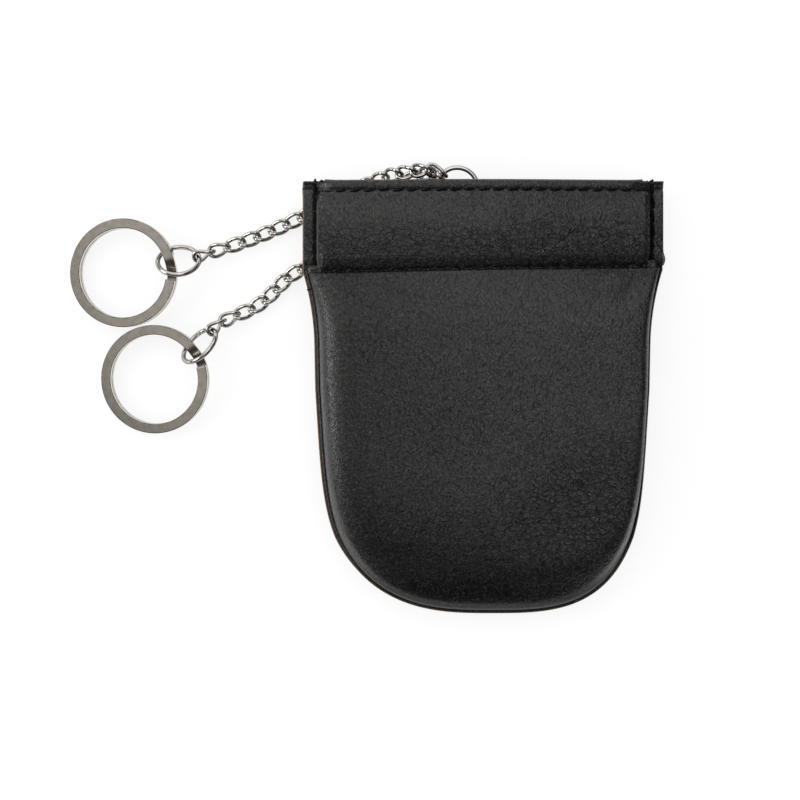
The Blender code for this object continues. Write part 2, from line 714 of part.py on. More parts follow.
def make_wire_section(collection):
    """The flat wire's section, with its two narrow sides a little rounded."""
    half_width_wire = KEY_RING_WIRE_WIDTH / 2
    half_height = KEY_RING_WIRE_HEIGHT / 2
    flat = half_width_wire - KEY_RING_EDGE_ROUND
    outline = [(flat, half_height), (half_width_wire, 0.0), (flat, -half_height)]
    outline += [(-x, -y) for x, y in outline]
    curve = bpy.data.curves.new("flat wire section", "CURVE")
    curve.dimensions = "2D"
    spline = curve.splines.new("POLY")
    spline.points.add(len(outline) - 1)
    for spot, (x, y) in zip(spline.points, outline):
        spot.co = (x, y, 0.0, 1.0)
    spline.use_cyclic_u = True
    section = add_object("flat wire section", curve, collection)
    section.hide_render = True
    section.display_type = "WIRE"
    return section


def jump_ring_place(joints, axis, lean, hook):
    """The jump ring's centre, from the chain's last link, which hooks on at a turn of the ring."""
    level, dip = ring_frame(axis, lean)
    last = joints[-1] - joints[-2]
    last = last / np.linalg.norm(last)
    wire = (joints[-1] + joints[-2]) / 2 + last * (LINK_REACH - RING_HOLD)
    return wire - RING_RADIUS * (level * math.cos(hook) + dip * math.sin(hook))


def key_ring_place(jump_centre, bearing):
    return jump_centre[:2] + KEY_RING_AWAY * np.array((math.cos(bearing), math.sin(bearing)))


def bearing_beside(jump_centre, other_key_centre):
    """The bearing at which a key ring lies just clear of another, on its -Y side."""
    step = other_key_centre - jump_centre[:2]
    distance = np.linalg.norm(step)
    apart = KEY_RING_OUTER_DIAMETER + KEY_RINGS_APART
    cosine = (distance ** 2 + KEY_RING_AWAY ** 2 - apart ** 2) / (2 * distance * KEY_RING_AWAY)
    return math.atan2(step[1], step[0]) + math.acos(cosine)


def ring_places(upper, lower):
    """For each chain, its jump ring's centre, its key ring's centre and the bearing between them."""
    upper_jump = jump_ring_place(upper, UPPER_JUMP_AXIS, UPPER_JUMP_LEAN, UPPER_JUMP_HOOK)
    lower_jump = jump_ring_place(lower, LOWER_JUMP_AXIS, LOWER_JUMP_LEAN, LOWER_JUMP_HOOK)
    upper_key = key_ring_place(upper_jump, UPPER_JUMP_BEARING)
    lower_bearing = bearing_beside(lower_jump, upper_key)
    lower_key = key_ring_place(lower_jump, lower_bearing)
    return (upper_jump, upper_key, UPPER_JUMP_BEARING), (lower_jump, lower_key, lower_bearing)


def build():
    clear_scene()
    parts = new_collection("key case")
    cutters = new_collection("cutters")
    leather = make_material("black leather", (0.022, 0.022, 0.024), 0.5, 0.0)
    fabric = make_material("black lining", (0.03, 0.03, 0.032), 0.85, 0.0)
    steel = make_material("spring steel", (0.52, 0.53, 0.55), 0.35, 1.0)
    nickel = make_material("nickel plate", (0.72, 0.70, 0.67), 0.15, 1.0)

    for word, side, crown in (("front", 1, FRONT_CROWN), ("back", -1, BACK_CROWN)):
        make_panel("%s_panel" % word, side, crown, parts, cutters, leather)
        make_lining("%s_lining" % word, side, crown, parts, fabric)
        make_casing("%s_casing" % word, side, parts, leather)
        make_spring("%s_spring_strip" % word, side, parts, steel)
    make_pin("left_frame_pin", -PIN_X, parts, steel)
    make_pin("right_frame_pin", PIN_X, parts, steel)

    level, dip = ring_frame(0.0, 0.0)
    make_ring("anchor_ring", ANCHOR_CENTRE, level, dip, -math.pi / 2, parts, nickel)
    make_tab(parts, leather)

    link_data = link_curve(nickel)
    wire_section = make_wire_section(cutters)
    upper = link_places(UPPER_ANCHOR_HOOK, UPPER_FIRST_BEARING, UPPER_FIRST_DIP, UPPER_ROUTE,
                        UPPER_LINK_COUNT)
    lower = link_places(LOWER_ANCHOR_HOOK, LOWER_FIRST_BEARING, LOWER_FIRST_DIP, LOWER_ROUTE,
                        LOWER_LINK_COUNT)
    make_chain("upper", upper, UPPER_ROLLS, UPPER_LAST_ROLLS, link_data, parts)
    make_chain("lower", lower, LOWER_ROLLS, LOWER_LAST_ROLLS, link_data, parts)
    upper_place, lower_place = ring_places(upper, lower)
    jump_centre, key_centre, bearing = upper_place
    level, dip = ring_frame(UPPER_JUMP_AXIS, UPPER_JUMP_LEAN)
    make_ring("upper_jump_ring", jump_centre, level, dip, UPPER_JUMP_SPLIT, parts, nickel)
    make_key_ring("upper_key_ring", key_centre, bearing, UPPER_KEY_RING_TILT, UPPER_KEY_RING_TURN,
                  wire_section, parts, nickel)
    jump_centre, key_centre, bearing = lower_place
    level, dip = ring_frame(LOWER_JUMP_AXIS, LOWER_JUMP_LEAN)
    make_ring("lower_jump_ring", jump_centre, level, dip, LOWER_JUMP_SPLIT, parts, nickel)
    make_key_ring("lower_key_ring", key_centre, bearing, LOWER_KEY_RING_TILT, LOWER_KEY_RING_TURN,
                  wire_section, parts, nickel)


build()
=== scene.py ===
"""Looks of a squeeze-frame key case lying on its back, with two chains and split key rings.

Shapes are worked out in millimetres and turned into metres where a mesh is made. The pouch's
outline, band and mouth use the same sizes as the solids that they stand for.
"""
import math

import bmesh
import bpy
import numpy as np
from mathutils import Matrix, Vector


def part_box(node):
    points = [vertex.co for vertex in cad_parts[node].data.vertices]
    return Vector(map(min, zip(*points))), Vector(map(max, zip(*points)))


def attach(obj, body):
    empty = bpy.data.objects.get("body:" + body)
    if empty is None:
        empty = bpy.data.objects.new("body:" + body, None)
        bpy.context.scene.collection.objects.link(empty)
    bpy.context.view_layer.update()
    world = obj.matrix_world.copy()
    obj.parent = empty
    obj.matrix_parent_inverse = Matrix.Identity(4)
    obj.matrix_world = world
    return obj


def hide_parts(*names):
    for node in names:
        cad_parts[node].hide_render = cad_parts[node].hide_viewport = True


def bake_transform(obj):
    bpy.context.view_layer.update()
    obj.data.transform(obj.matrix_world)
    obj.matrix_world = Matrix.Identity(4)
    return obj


MM = 0.001
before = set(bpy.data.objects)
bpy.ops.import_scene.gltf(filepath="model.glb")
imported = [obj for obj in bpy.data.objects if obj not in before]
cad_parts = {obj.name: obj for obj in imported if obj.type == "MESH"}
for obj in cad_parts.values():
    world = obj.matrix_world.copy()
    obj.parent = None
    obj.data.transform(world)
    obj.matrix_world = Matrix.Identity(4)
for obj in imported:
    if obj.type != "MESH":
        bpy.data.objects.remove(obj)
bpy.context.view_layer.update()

# Pouch, seen from above
HEM = 29.1
HEM_RISE = 1.3
BAND_HALF_WIDTH = 40.9
BAND_TOP = 49.4
BAND_MIDDLE = 36.0
ROUND_START = 2.0
ROUND_POWER = 3.0
BODY_HALF_WIDTH = 37.75
TOP_HALF_WIDTH = 40.7
BODY_BOTTOM = -49.0
SIDE_TAPER = 0.02
FLARE_LENGTH = 17.0
BOTTOM_LEAN = 2.2
LEAN_POWER = 4.0
WAIST = 0.65
WAIST_SPAN = 0.66
SHOULDER = 15.0
TURNED_IN = (0.7, 1.5)
BACK_PROUD = 0.3
LEFT_PROUD = 0.3
CHANNEL_HALF_WIDTH = 36.7
FLANGE_START = 37.8
FLANGE_RISE = 0.45
TOP_PINCH_START = 33.0
INNER_WALL_HALF_WIDTH = 33.2
HEM_SCALLOP = 0.34
PIN_X = 35.2
RIGHT_BLEND = 12.0
LINING_BELOW_HEM = 2.5
LIP_INSET = 0.95
BULGE_Y = 31.3
BULGE_OUT = 0.45

# Pouch, across the seam plane
SEAM_Z = 6.6
SEAM_HALF_GAP = 0.15
FRONT_CROWN = 5.9
BACK_CROWN = 7.2
RIM_RISE = 0.5
TUCKED = 1.55
TUCKED_FACE = 0.35
HEM_SWELL = 1.15
STITCH_PULL = 0.10
SLACK_RISE = 0.18
RIDGE_SHARE = 0.45
BEAD = 0.62
BEAD_RISE = 0.55
FILLET = 2.4
RIM_SKIN = 0.12
PANEL_SKIN = 0.7
HEM_SKIN = 0.3
HEM_THICKNESS = 0.32
CASING = 0.85
CHANNEL_DEPTH = 1.0
LIP_BOW = 1.2
LINING_INSET = 1.55
LINING_THICKNESS = 0.3
BULGE_RISE = 0.35
TABLE_SOFTNESS = 0.01

# How square the dome's section is at the hem, in the middle and at the round bottom
DOME_POWERS = (20.0, 12.0, 3.4)
LINING_POWERS = (14.0, 6.0)

# Glued edge along the seam
SEAM_EDGE_OUTER = 0.4
SEAM_EDGE_INNER = 1.15
SEAM_EDGE_BELOW = 0.47
SEAM_EDGE_ABOVE = 0.33

# Where the front is cut into pieces along the round seam
FAN_Y = 2.0
FAN_INSET = 0.6
FAN_TURNS = np.radians((20.0, 45.0, 70.0, 110.0, 135.0, 160.0))

# Seams
STITCH_PITCH = 3.2
STITCH_LENGTH = 2.6
SIDE_STITCH_LENGTH = 3.3
HEM_STITCH_LENGTH = 1.0
STITCH_SCATTER = 0.04
THREAD_RADIUS = 0.26
SIDE_THREAD_RADIUS = 0.4
HEM_THREAD_RADIUS = 0.17
UPPER_SEAM_Y = 46.9
LOWER_SEAM_ABOVE_HEM = 0.4
SIDE_SEAM_X = 38.3
SEAM_PHASE = -40.4
SEAM_END = 40.2

# Metal
LINK_REACH = 2.435
LINK_BREADTH = 1.36
LINK_RISE = 0.68
LINK_WIRE = 0.44
LINK_STEPS = 44
RING_RADIUS = 4.75
RING_WIRE = 0.55
RING_SPLIT = 0.15
RING_STEPS = 96
KEY_RING_RADIUS = 11.4
KEY_WIRE_HALF = (1.1, 0.6)
KEY_WIRE_ROUND = 0.12
KEY_FLAT_START = 0.08
KEY_COIL_RISE = 0.65
KEY_JOG_START = math.radians(20.0)
KEY_JOG_END = math.radians(-9.0)
KEY_RING_STEPS = 320

# Ring tab
TAB_WIDTH = 5.0
TAB_THICKNESS = 0.4
TAB_LENGTH = 12.0
TAB_PLAY = 0.1
TAB_JOIN_BELOW_WIRE = 1.1
TAB_GLUE = 0.05
TAB_BEND_STEPS = 12

# Leather's looks, with relief in steps of RELIEF_STEP millimetres
RELIEF_STEP = 0.04
GRAIN_WARP = (1.3, 1.3, 1.3)
PEBBLE_STRETCH = (1.0, 0.6, 1.0)
CREASE_STRETCH = (0.42, 0.8, 0.5)
CREASE_TURN = 0.5
PEBBLE_RELIEF = 1.5
FINE_RELIEF = 1.3
LINE_RELIEF = 1.2
SKIN_GREYS = (0.0034, 0.0054)
# Light grey painted on the pebbles' tops as glints of light
GLINT_GREY = 0.046
# Near black painted into the pits between pebbles as shade
PIT_SHADE_GREY = 0.0012
# Near black painted into the fine creases as shade
CREASE_SHADE_GREY = 0.002
LINE_DULL = 0.36
PIT_DULL = 0.5
MATTE_SHINE = 0.08
# Light grey for wear at the band's ends, and for the painted highlight along the front's rim bead and
# beside the band's left side seam
EDGE_WEAR_AND_HIGHLIGHT = (0.17, 0.162, 0.15, 1)
CUT_EDGE = (0.30, 0.185, 0.11, 1)
# Dark brown painted on the wires' flanks and the key rings' corners as shade
WIRE_SHADE_BROWN = (0.13, 0.105, 0.08, 1)


def clamp(value):
    return np.clip(value, 0.0, 1.0)


def smooth(value):
    t = clamp(value)
    return t * t * (3.0 - 2.0 * t)


def mix(low, high, share):
    return low + (high - low) * share


def bell(distance, width):
    """1 at no distance, falling away on both sides."""
    return np.exp(-(distance / width) ** 2)


def unit(vectors):
    return vectors / np.linalg.norm(vectors, axis=-1, keepdims=True)


# Node materials

def set_inputs(tree, node, inputs):
    """Each input takes a value, or a link from another node."""
    for key, value in inputs.items():
        if isinstance(value, bpy.types.NodeSocket):
            tree.links.new(value, node.inputs[key])
        else:
            node.inputs[key].default_value = value


def add_node(tree, kind, inputs=None, **settings):
    node = tree.nodes.new("ShaderNode" + kind)
    for key, value in settings.items():
        setattr(node, key, value)
    set_inputs(tree, node, inputs or {})
    return node


def math_node(tree, operation, first, second, clamp=False):
    inputs = {0: first, 1: second}
    return add_node(tree, "Math", inputs, operation=operation, use_clamp=clamp).outputs[0]


def times(tree, first, second, clamp=False):
    return math_node(tree, "MULTIPLY", first, second, clamp)


def plus(tree, first, second):
    return math_node(tree, "ADD", first, second)


def minus(tree, first, second):
    return math_node(tree, "SUBTRACT", first, second)


def new_material(name):
    material = bpy.data.materials.new(name)
    material.use_nodes = True
    tree = material.node_tree
    return material, tree, tree.nodes["Principled BSDF"]


def millimetres(tree):
    """The surface's own place, in millimetres."""
    place = add_node(tree, "TexCoord").outputs["Object"]
    inputs = {0: place, 1: (1.0 / MM,) * 3}
    return add_node(tree, "VectorMath", inputs, operation="MULTIPLY").outputs[0]


def painted(tree, name):
    """A value that the mesh carries at its points."""
    return add_node(tree, "Attribute", attribute_name=name).outputs["Fac"]


def ramp(tree, value, low, high, out_low=0.0, out_high=1.0):
    """A soft step from one level to another, as the value goes from low to high."""
    inputs = {"Value": value, "From Min": low, "From Max": high, "To Min": out_low, "To Max": out_high}
    return add_node(tree, "MapRange", inputs, interpolation_type="SMOOTHSTEP").outputs["Result"]


def mix_colour(tree, share, first, second):
    """The node's inputs 6 and 7 are its two colours, and its output 2 is their mix."""
    return add_node(tree, "Mix", {0: share, 6: first, 7: second}, data_type="RGBA").outputs[2]


def noise(tree, place, scale, detail=2.0, output="Fac"):
    inputs = {"Vector": place, "Scale": scale, "Detail": detail}
    return add_node(tree, "TexNoise", inputs).outputs[output]


def cells(tree, place, scale, feature):
    inputs = {"Vector": place, "Scale": scale}
    return add_node(tree, "TexVoronoi", inputs, feature=feature).outputs["Distance"]


def waves(tree, place, scale, way, distortion=0.0):
    inputs = {"Vector": place, "Scale": scale, "Distortion": distortion}
    return add_node(tree, "TexWave", inputs, bands_direction=way).outputs["Fac"]


def stretched(tree, place, turn, scale):
    inputs = {"Vector": place, "Rotation": (0.0, 0.0, turn), "Scale": scale}
    return add_node(tree, "Mapping", inputs).outputs[0]


def relief(tree, height, strength, depth):
    """The normal of a surface with fine relief, its depth in millimetres."""
    inputs = {"Height": height, "Strength": strength, "Distance": depth * MM}
    return add_node(tree, "Bump", inputs).outputs[0]


def grey(value):
    """A dark grey that leans a little to blue, as dyed leather does."""
    return (value * 0.97, value, value * 1.09, 1)


def crackle(tree, place, scale, width):
    """1 on the lines between cells, and 0 beside them."""
    return ramp(tree, cells(tree, place, scale, "DISTANCE_TO_EDGE"), 0.0, width, 1.0, 0.0)


def leather_material(name, grain_turn, light):
    """Black nappa: pebble grain, fine creases where the skin is slack, edges with wear and bare cut edges;
    its colour also carries painted glints on the pebbles' tops, painted shade in their pits and creases,
    and a painted highlight along the rim.
    """
    material, tree, shader = new_material(name)
    place = millimetres(tree)
    warp = {0: noise(tree, place, 0.8, output="Color"), 1: GRAIN_WARP, 2: place}
    warped = add_node(tree, "VectorMath", warp, operation="MULTIPLY_ADD").outputs[0]
    pebble = cells(tree, stretched(tree, warped, grain_turn, PEBBLE_STRETCH), 2.3, "F1")
    cell = times(tree, pebble, pebble, True)
    fine = noise(tree, place, 3.6, detail=3.0)
    glint_spots = ramp(tree, noise(tree, place, 2.1), 0.50, 0.68)
    patch = noise(tree, place, 0.16)
    soft = noise(tree, place, 0.06)
    long_line = crackle(tree, stretched(tree, warped, CREASE_TURN, CREASE_STRETCH), 1.0, 0.11)
    short_line = crackle(tree, warped, 0.95, 0.13)
    lines = plus(tree, long_line, times(tree, short_line, 0.6))
    slack = plus(tree, painted(tree, "wrinkle"), times(tree, patch, 0.7))
    line_depth = times(tree, lines, ramp(tree, slack, 0.40, 1.0))
    height = plus(tree, times(tree, cell, -PEBBLE_RELIEF), times(tree, fine, FINE_RELIEF))
    height = minus(tree, height, times(tree, line_depth, LINE_RELIEF))
    dark, pale = SKIN_GREYS
    body = mix_colour(tree, soft, grey(dark * light), grey(pale * light))
    # Painted highlight: light specks on the tops of the pebbles stand for glints
    top = times(tree, glint_spots, minus(tree, 1.0, cell), True)
    for share, colour in (
            (top, grey(GLINT_GREY * light)),
            # Painted shade in the pits between pebbles
            (times(tree, cell, 2.2, True), grey(PIT_SHADE_GREY)),
            # Painted shade along the fine creases
            (times(tree, line_depth, 0.95, True), grey(CREASE_SHADE_GREY)),
            # Painted highlight along the rim, and wear at the band's ends
            (painted(tree, "edge"), EDGE_WEAR_AND_HIGHLIGHT),
            (painted(tree, "tan"), CUT_EDGE)):
        body = mix_colour(tree, share, body, colour)
    line_shine = minus(tree, 1.0, times(tree, line_depth, LINE_DULL, True))
    pit_shine = minus(tree, 1.0, times(tree, cell, PIT_DULL, True))
    matte_shine = ramp(tree, painted(tree, "matte"), 0.0, 1.0, 1.0, MATTE_SHINE)
    set_inputs(tree, shader, {
        "Base Color": body,
        "Normal": relief(tree, height, 1.0, RELIEF_STEP),
        "Roughness": ramp(tree, fine, 0.3, 0.75, 0.23, 0.46),
        "Specular IOR Level": times(tree, times(tree, line_shine, pit_shine), matte_shine)})
    return material


def thread_material():
    material, tree, shader = new_material("black_thread")
    twist = waves(tree, millimetres(tree), 2.6, "DIAGONAL", 1.0)
    set_inputs(tree, shader, {
        "Base Color": mix_colour(tree, twist, (0.001, 0.001, 0.0011, 1), (0.005, 0.005, 0.0055, 1)),
        "Normal": relief(tree, twist, 0.5, 0.06),
        "Roughness": 0.6,
        "Specular IOR Level": 0.12})
    return material


def fabric_material():
    material, tree, shader = new_material("black_lining")
    place = millimetres(tree)
    weave = times(tree, waves(tree, place, 0.8, "X"), waves(tree, place, 0.8, "Y"))
    set_inputs(tree, shader, {
        "Base Color": mix_colour(tree, weave, (0.016, 0.016, 0.018, 1), (0.04, 0.04, 0.043, 1)),
        "Normal": relief(tree, weave, 0.4, 0.08),
        "Roughness": 0.9,
        "Sheen Weight": 0.2})
    return material


def metal_material(name, dark, light, roughness, scratch):
    """Plated metal with faint marks from wear, and dark shade painted on its wires' flanks and corners."""
    material, tree, shader = new_material(name)
    place = millimetres(tree)
    fine = noise(tree, place, 5.0, detail=4.0)
    cloudy = ramp(tree, noise(tree, place, 0.7, detail=5.0), 0.3, 0.7)
    clean = mix_colour(tree, cloudy, dark, light)
    # Painted shade on the wires' flanks and corners, from a share that the mesh carries
    shade_share = times(tree, painted(tree, "wire_shade"), ramp(tree, fine, 0.2, 0.5, 0.75, 1.0))
    set_inputs(tree, shader, {
        "Base Color": mix_colour(tree, shade_share, clean, WIRE_SHADE_BROWN),
        "Normal": relief(tree, fine, scratch, 0.02),
        "Roughness": ramp(tree, fine, 0.3, 0.8, roughness, roughness * 1.6),
        "Metallic": 1.0})
    return material


LEATHER = leather_material("black_leather", math.radians(20.0), 1.0)
BAND_LEATHER = leather_material("black_band_leather", math.radians(-50.0), 0.95)
THREAD = thread_material()
FABRIC = fabric_material()
# Two copies of one nickel plating: the key rings' copy is coloured darker as painted shade, and the wires'
# copy lighter as painted highlight
DARKENED_NICKEL = metal_material("darkened_nickel", (0.58, 0.55, 0.505, 1), (0.70, 0.667, 0.62, 1), 0.11, 0.3)
LIGHTENED_NICKEL = metal_material("nickel_wire", (0.76, 0.735, 0.70, 1), (0.90, 0.875, 0.84, 1), 0.11, 0.3)
STEEL = metal_material("spring_steel", (0.42, 0.43, 0.45, 1), (0.56, 0.57, 0.59, 1), 0.3, 0.6)


# Mesh making

def add_object(name, data):
    obj = bpy.data.objects.new(name, data)
    bpy.context.scene.collection.objects.link(obj)
    return obj


def finish_mesh(name, material, verts, faces, looks, normals=None):
    mesh = bpy.data.meshes.new(name)
    mesh.from_pydata([tuple(v) for v in np.asarray(verts) * MM], [], [tuple(f) for f in faces])
    mesh.polygons.foreach_set("use_smooth", [True] * len(mesh.polygons))
    for key, values in looks.items():
        layer = mesh.attributes.new(key, "FLOAT", "POINT")
        layer.data.foreach_set("value", np.asarray(values, np.float32))
    mesh.update()
    if normals is not None:
        mesh.normals_split_custom_set_from_vertices([tuple(n) for n in normals])
    mesh.materials.append(material)
    return add_object(name, mesh)


def dress(piece, slot, *nodes):
    """The slot is not used; the solids of the piece's nodes, if it has any, are hidden."""
    if nodes:
        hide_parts(*nodes)


def pouch_piece(name, material, form, slot, *nodes):
    """A piece that stays with the pouch's back; its form is its corners, its faces and its looks."""
    piece = finish_mesh(name, material, *form)
    dress(piece, slot, *nodes)
    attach(piece, "pouch")


def grid_faces(rows, columns, flip=False):
    r, c = np.meshgrid(np.arange(rows - 1), np.arange(columns - 1), indexing="ij")
    a = (r * columns + c).ravel()
    quads = np.stack([a, a + 1, a + columns + 1, a + columns], axis=1)
    return quads[:, ::-1] if flip else quads


def tube_faces(count, around, closed=False, base=0):
    """The faces of a tube, from one section to the next along its path."""
    faces = []
    for k in range(count if closed else count - 1):
        here = base + k * around
        there = base + (k + 1) % count * around
        for m in range(around):
            n = (m + 1) % around
            faces.append((here + m, here + n, there + n, there + m))
    return faces


def vertex_normals(verts, faces):
    """Area-weighted normals of a mesh of quads."""
    normals = np.zeros_like(verts)
    a, b, c, d = (verts[faces[:, k]] for k in range(4))
    face = np.cross(c - a, d - b)
    for k in range(4):
        np.add.at(normals, faces[:, k], face)
    length = np.linalg.norm(normals, axis=1, keepdims=True)
    return normals / np.maximum(length, 1e-12)


def shell(grid, thickness, flip):
    """A sheet's outer face, inner face and edge, from the grid of its outer face."""
    rows, columns, _ = grid.shape
    outer = grid.reshape(-1, 3)
    quads = grid_faces(rows, columns, flip)
    normals = vertex_normals(outer, quads)
    inner = outer - normals * np.reshape(thickness, (-1, 1))
    count = len(outer)
    index = np.arange(count).reshape(rows, columns)
    rim = np.concatenate([index[0], index[1:, -1], index[-1, -2::-1], index[-2:0:-1, 0]])
    following = np.roll(rim, -1)
    wall = np.stack([following, rim, rim + count, following + count], axis=1)
    if flip:
        wall = wall[:, ::-1]
    faces = np.concatenate([quads, quads[:, ::-1] + count, wall])
    return np.concatenate([outer, inner]), faces


def cut_sheet(name, material, form, region, words):
    """One piece for each region of a mesh, which keep the whole mesh's normals where they meet."""
    verts, faces, looks = form
    normals = vertex_normals(verts, faces)
    pieces = []
    for number, word in enumerate(words):
        own = faces[region == number]
        used, local = np.unique(own, return_inverse=True)
        own_looks = {key: values[used] for key, values in looks.items()}
        pieces.append(finish_mesh("%s_%s" % (name, word), material, verts[used], local.reshape(own.shape),
                                  own_looks, normals[used]))
    return pieces


def bend_with_mouth(left, right):
    """Bakes each half's place into its mesh."""
    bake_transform(left)
    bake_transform(right)


def face_centres(form):
    verts, faces, _ = form
    return verts[faces].mean(axis=1)


def lip_piece(name, material, form, slot, *nodes):
    """A piece of the front lip, cut at the middle into a left and a right half."""
    region = (face_centres(form)[:, 0] >= 0.0).astype(int)
    halves = cut_sheet(name, material, form, region, ("left", "right"))
    for half in halves:
        dress(half, slot, *nodes)
    bend_with_mouth(*halves)


def round_place(across, down, inset):
    """A place on the round bottom, from its shares across and down, and how far these reach there."""
    wide = BODY_HALF_WIDTH - inset - WAIST * np.sin(np.pi * np.minimum(down / WAIST_SPAN, 1.0))
    tall = ROUND_START - BODY_BOTTOM - inset
    return across * wide + BOTTOM_LEAN * down ** LEAN_POWER, ROUND_START - down * tall, wide, tall


def fan_corners():
    """Corners on the round bottom's seam, from the right side round to the left side."""
    corners = [(PIN_X, FAN_Y)]
    for turn in FAN_TURNS:
        across = math.copysign(abs(math.cos(turn)) ** (2.0 / ROUND_POWER), math.cos(turn))
        x, y, _, _ = round_place(across, math.sin(turn) ** (2.0 / ROUND_POWER), FAN_INSET)
        corners.append((float(x), float(y)))
    corners.append((-PIN_X, FAN_Y))
    return corners


def sewn_front(name, material, form, slot, *nodes):
    """A sheet of the pouch's front, cut into a left and a right half above and a fan of pieces along the
    round seam below.
    """
    corners = fan_corners()
    centre = face_centres(form)
    bearing = np.arctan2(FAN_Y - centre[:, 1], centre[:, 0])
    bounds = [math.atan2(FAN_Y - y, x) for x, y in corners[1:-1]]
    upper = (centre[:, 0] >= 0.0).astype(int)
    region = np.where(bearing > 0.0, 2 + np.searchsorted(bounds, bearing), upper)
    words = ["left", "right"] + ["low_%d" % number for number in range(1, len(corners))]
    pieces = cut_sheet(name, material, form, region, words)
    bend_with_mouth(*pieces[:2])
    for piece, first, second in zip(pieces[2:], corners[:-1], corners[1:]):
        first = np.array(first)
        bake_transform(piece)
    for piece in pieces:
        dress(piece, slot, *nodes)


# Pouch form

def hem_y(x):
    return HEM + HEM_RISE / 2 * x / BAND_HALF_WIDTH


def half_width(y):
    flare = TOP_HALF_WIDTH - BODY_HALF_WIDTH - SIDE_TAPER * (HEM - ROUND_START)
    rise = np.clip((y - (HEM - FLARE_LENGTH)) / FLARE_LENGTH, 0.0, 1.2)
    return BODY_HALF_WIDTH + SIDE_TAPER * (y - ROUND_START) + flare * rise ** 2


def lip_gap(x):
    bow = 0.5 * (1.0 + np.cos(np.pi * np.minimum(np.abs(x) / PIN_X, 1.0)))
    return SEAM_HALF_GAP + LIP_BOW * bow


def panel_grid(counts, inset, top_offsets):
    """Places over the pouch's outline, how near each is to the rim (1 on it), and how deep inside it."""
    columns, round_rows, side_rows = counts
    u = np.sin(np.pi / 2 * np.linspace(-1.0, 1.0, columns + 1))
    rows = []
    for k in range(round_rows):
        v = -math.cos(math.pi / 2 * k / round_rows)
        reach = np.maximum(np.abs(u), abs(v))
        du, dv = np.abs(u) / reach, abs(v) / reach
        fit = (du ** ROUND_POWER + dv ** ROUND_POWER) ** (-1.0 / ROUND_POWER)
        across, down = u * fit, -v * fit
        x, y, wide, tall = round_place(across, down, inset)
        rim = (np.abs(across) ** ROUND_POWER + down ** ROUND_POWER) ** (1.0 / ROUND_POWER)
        slope_x = (np.abs(across) / rim) ** (ROUND_POWER - 1.0) / wide
        slope_y = (down / rim) ** (ROUND_POWER - 1.0) / tall
        rows.append((x, y, rim, (1.0 - rim) / np.hypot(slope_x, slope_y)))
    top = hem_y(u * TOP_HALF_WIDTH)
    shares = np.sin(np.pi / 2 * np.linspace(0.0, 1.0, side_rows + 1))
    for y in [mix(ROUND_START, top, share) for share in shares] + [top + offset for offset in top_offsets]:
        wide = half_width(np.minimum(y, HEM)) - inset
        rows.append((u * wide, y, np.abs(u), (1.0 - np.abs(u)) * wide))
    return np.array(rows).transpose(1, 0, 2)


def crease(x, y, points, width, depth):
    """A soft valley along a line of points, with a low ridge on either side."""
    nearest = np.full(x.shape, 1e9)
    along = np.zeros(x.shape)
    total = len(points) - 1
    for k in range(total):
        (ax, ay), (bx, by) = points[k:k + 2]
        dx, dy = bx - ax, by - ay
        t = clamp(((x - ax) * dx + (y - ay) * dy) / (dx ** 2 + dy ** 2))
        distance = np.hypot(x - ax - t * dx, y - ay - t * dy)
        closer = distance < nearest
        nearest = np.where(closer, distance, nearest)
        along = np.where(closer, (k + t) / total, along)
    fade = np.sqrt(clamp(np.sin(np.pi * along)))
    return fade * depth * (RIDGE_SHARE * bell(nearest / width - 2.0, 1.1) - bell(nearest, width))


# Each crease has the points that it runs through, its width and its depth
FRONT_CREASES = (
    (((-35.6, 26.4), (-33.5, 25.4), (-30.0, 24.6), (-25.6, 23.6)), 0.45, 0.13),
    (((-33.5, 24.6), (-31.0, 24.0), (-28.6, 24.2)), 0.35, 0.07),
    (((-27.0, 24.6), (-22.0, 23.4), (-16.0, 23.1)), 0.5, 0.05),
    (((36.6, 29.4), (33.5, 28.0), (30.4, 26.6), (27.8, 25.0)), 1.9, -0.22),
    (((35.0, 26.0), (32.0, 23.6), (29.4, 20.8)), 1.7, 0.12),
    (((-2.0, -28.8), (5.0, -29.3), (11.0, -27.6), (19.0, -27.9), (26.0, -25.7), (31.0, -26.6)), 0.5, 0.06),
    (((3.0, -31.6), (10.0, -32.4), (15.0, -30.6), (21.0, -31.2), (27.0, -29.0)), 0.5, 0.05),
    (((11.0, -25.2), (16.0, -24.0), (22.0, -25.0), (28.0, -22.6)), 0.45, 0.045),
    (((22.0, -15.0), (24.0, -19.0), (23.0, -23.5), (26.0, -27.0)), 0.45, 0.04),
    (((27.0, -13.0), (30.0, -17.0), (29.0, -21.0)), 0.45, 0.04),
    (((-14.0, -33.0), (-6.0, -34.4), (3.0, -34.0), (12.0, -35.4)), 0.6, 0.04),
    (((2.0, 20.0), (6.0, 16.0), (8.0, 10.0)), 0.9, 0.04),
    (((12.0, 27.0), (9.0, 22.0), (7.5, 15.0)), 0.8, 0.045),
)
BAND_CREASE = (((8.0, 31.6), (14.0, 34.6), (21.0, 36.8), (27.0, 38.2)), 0.9, 0.06)


def wandering(x, y, seed, scale):
    """A smooth uneven field made of a few waves."""
    rng = np.random.default_rng(seed)
    total = np.zeros(x.shape)
    for _ in range(9):
        angle = rng.uniform(0.0, 2.0 * np.pi)
        pace = scale * rng.uniform(0.5, 1.6)
        phase = rng.uniform(0.0, 2.0 * np.pi)
        total += np.sin((x * np.cos(angle) + y * np.sin(angle)) * pace + phase)
    return total / 9.0


def hem_arc(x):
    """The lower seam pulls the skin into small arcs, one to a stitch."""
    return np.abs(np.sin(np.pi * (x - SEAM_PHASE) / STITCH_PITCH))


def right_share(x):
    """0 on the pouch's left half, going up to 1 on its right."""
    return smooth(x / RIGHT_BLEND)


def shoulder_rise(x, y):
    """0 at the hem, going up to 1 where the pouch reaches its full height."""
    return 1.0 - (1.0 - clamp((hem_y(x) - y) / SHOULDER)) ** 2


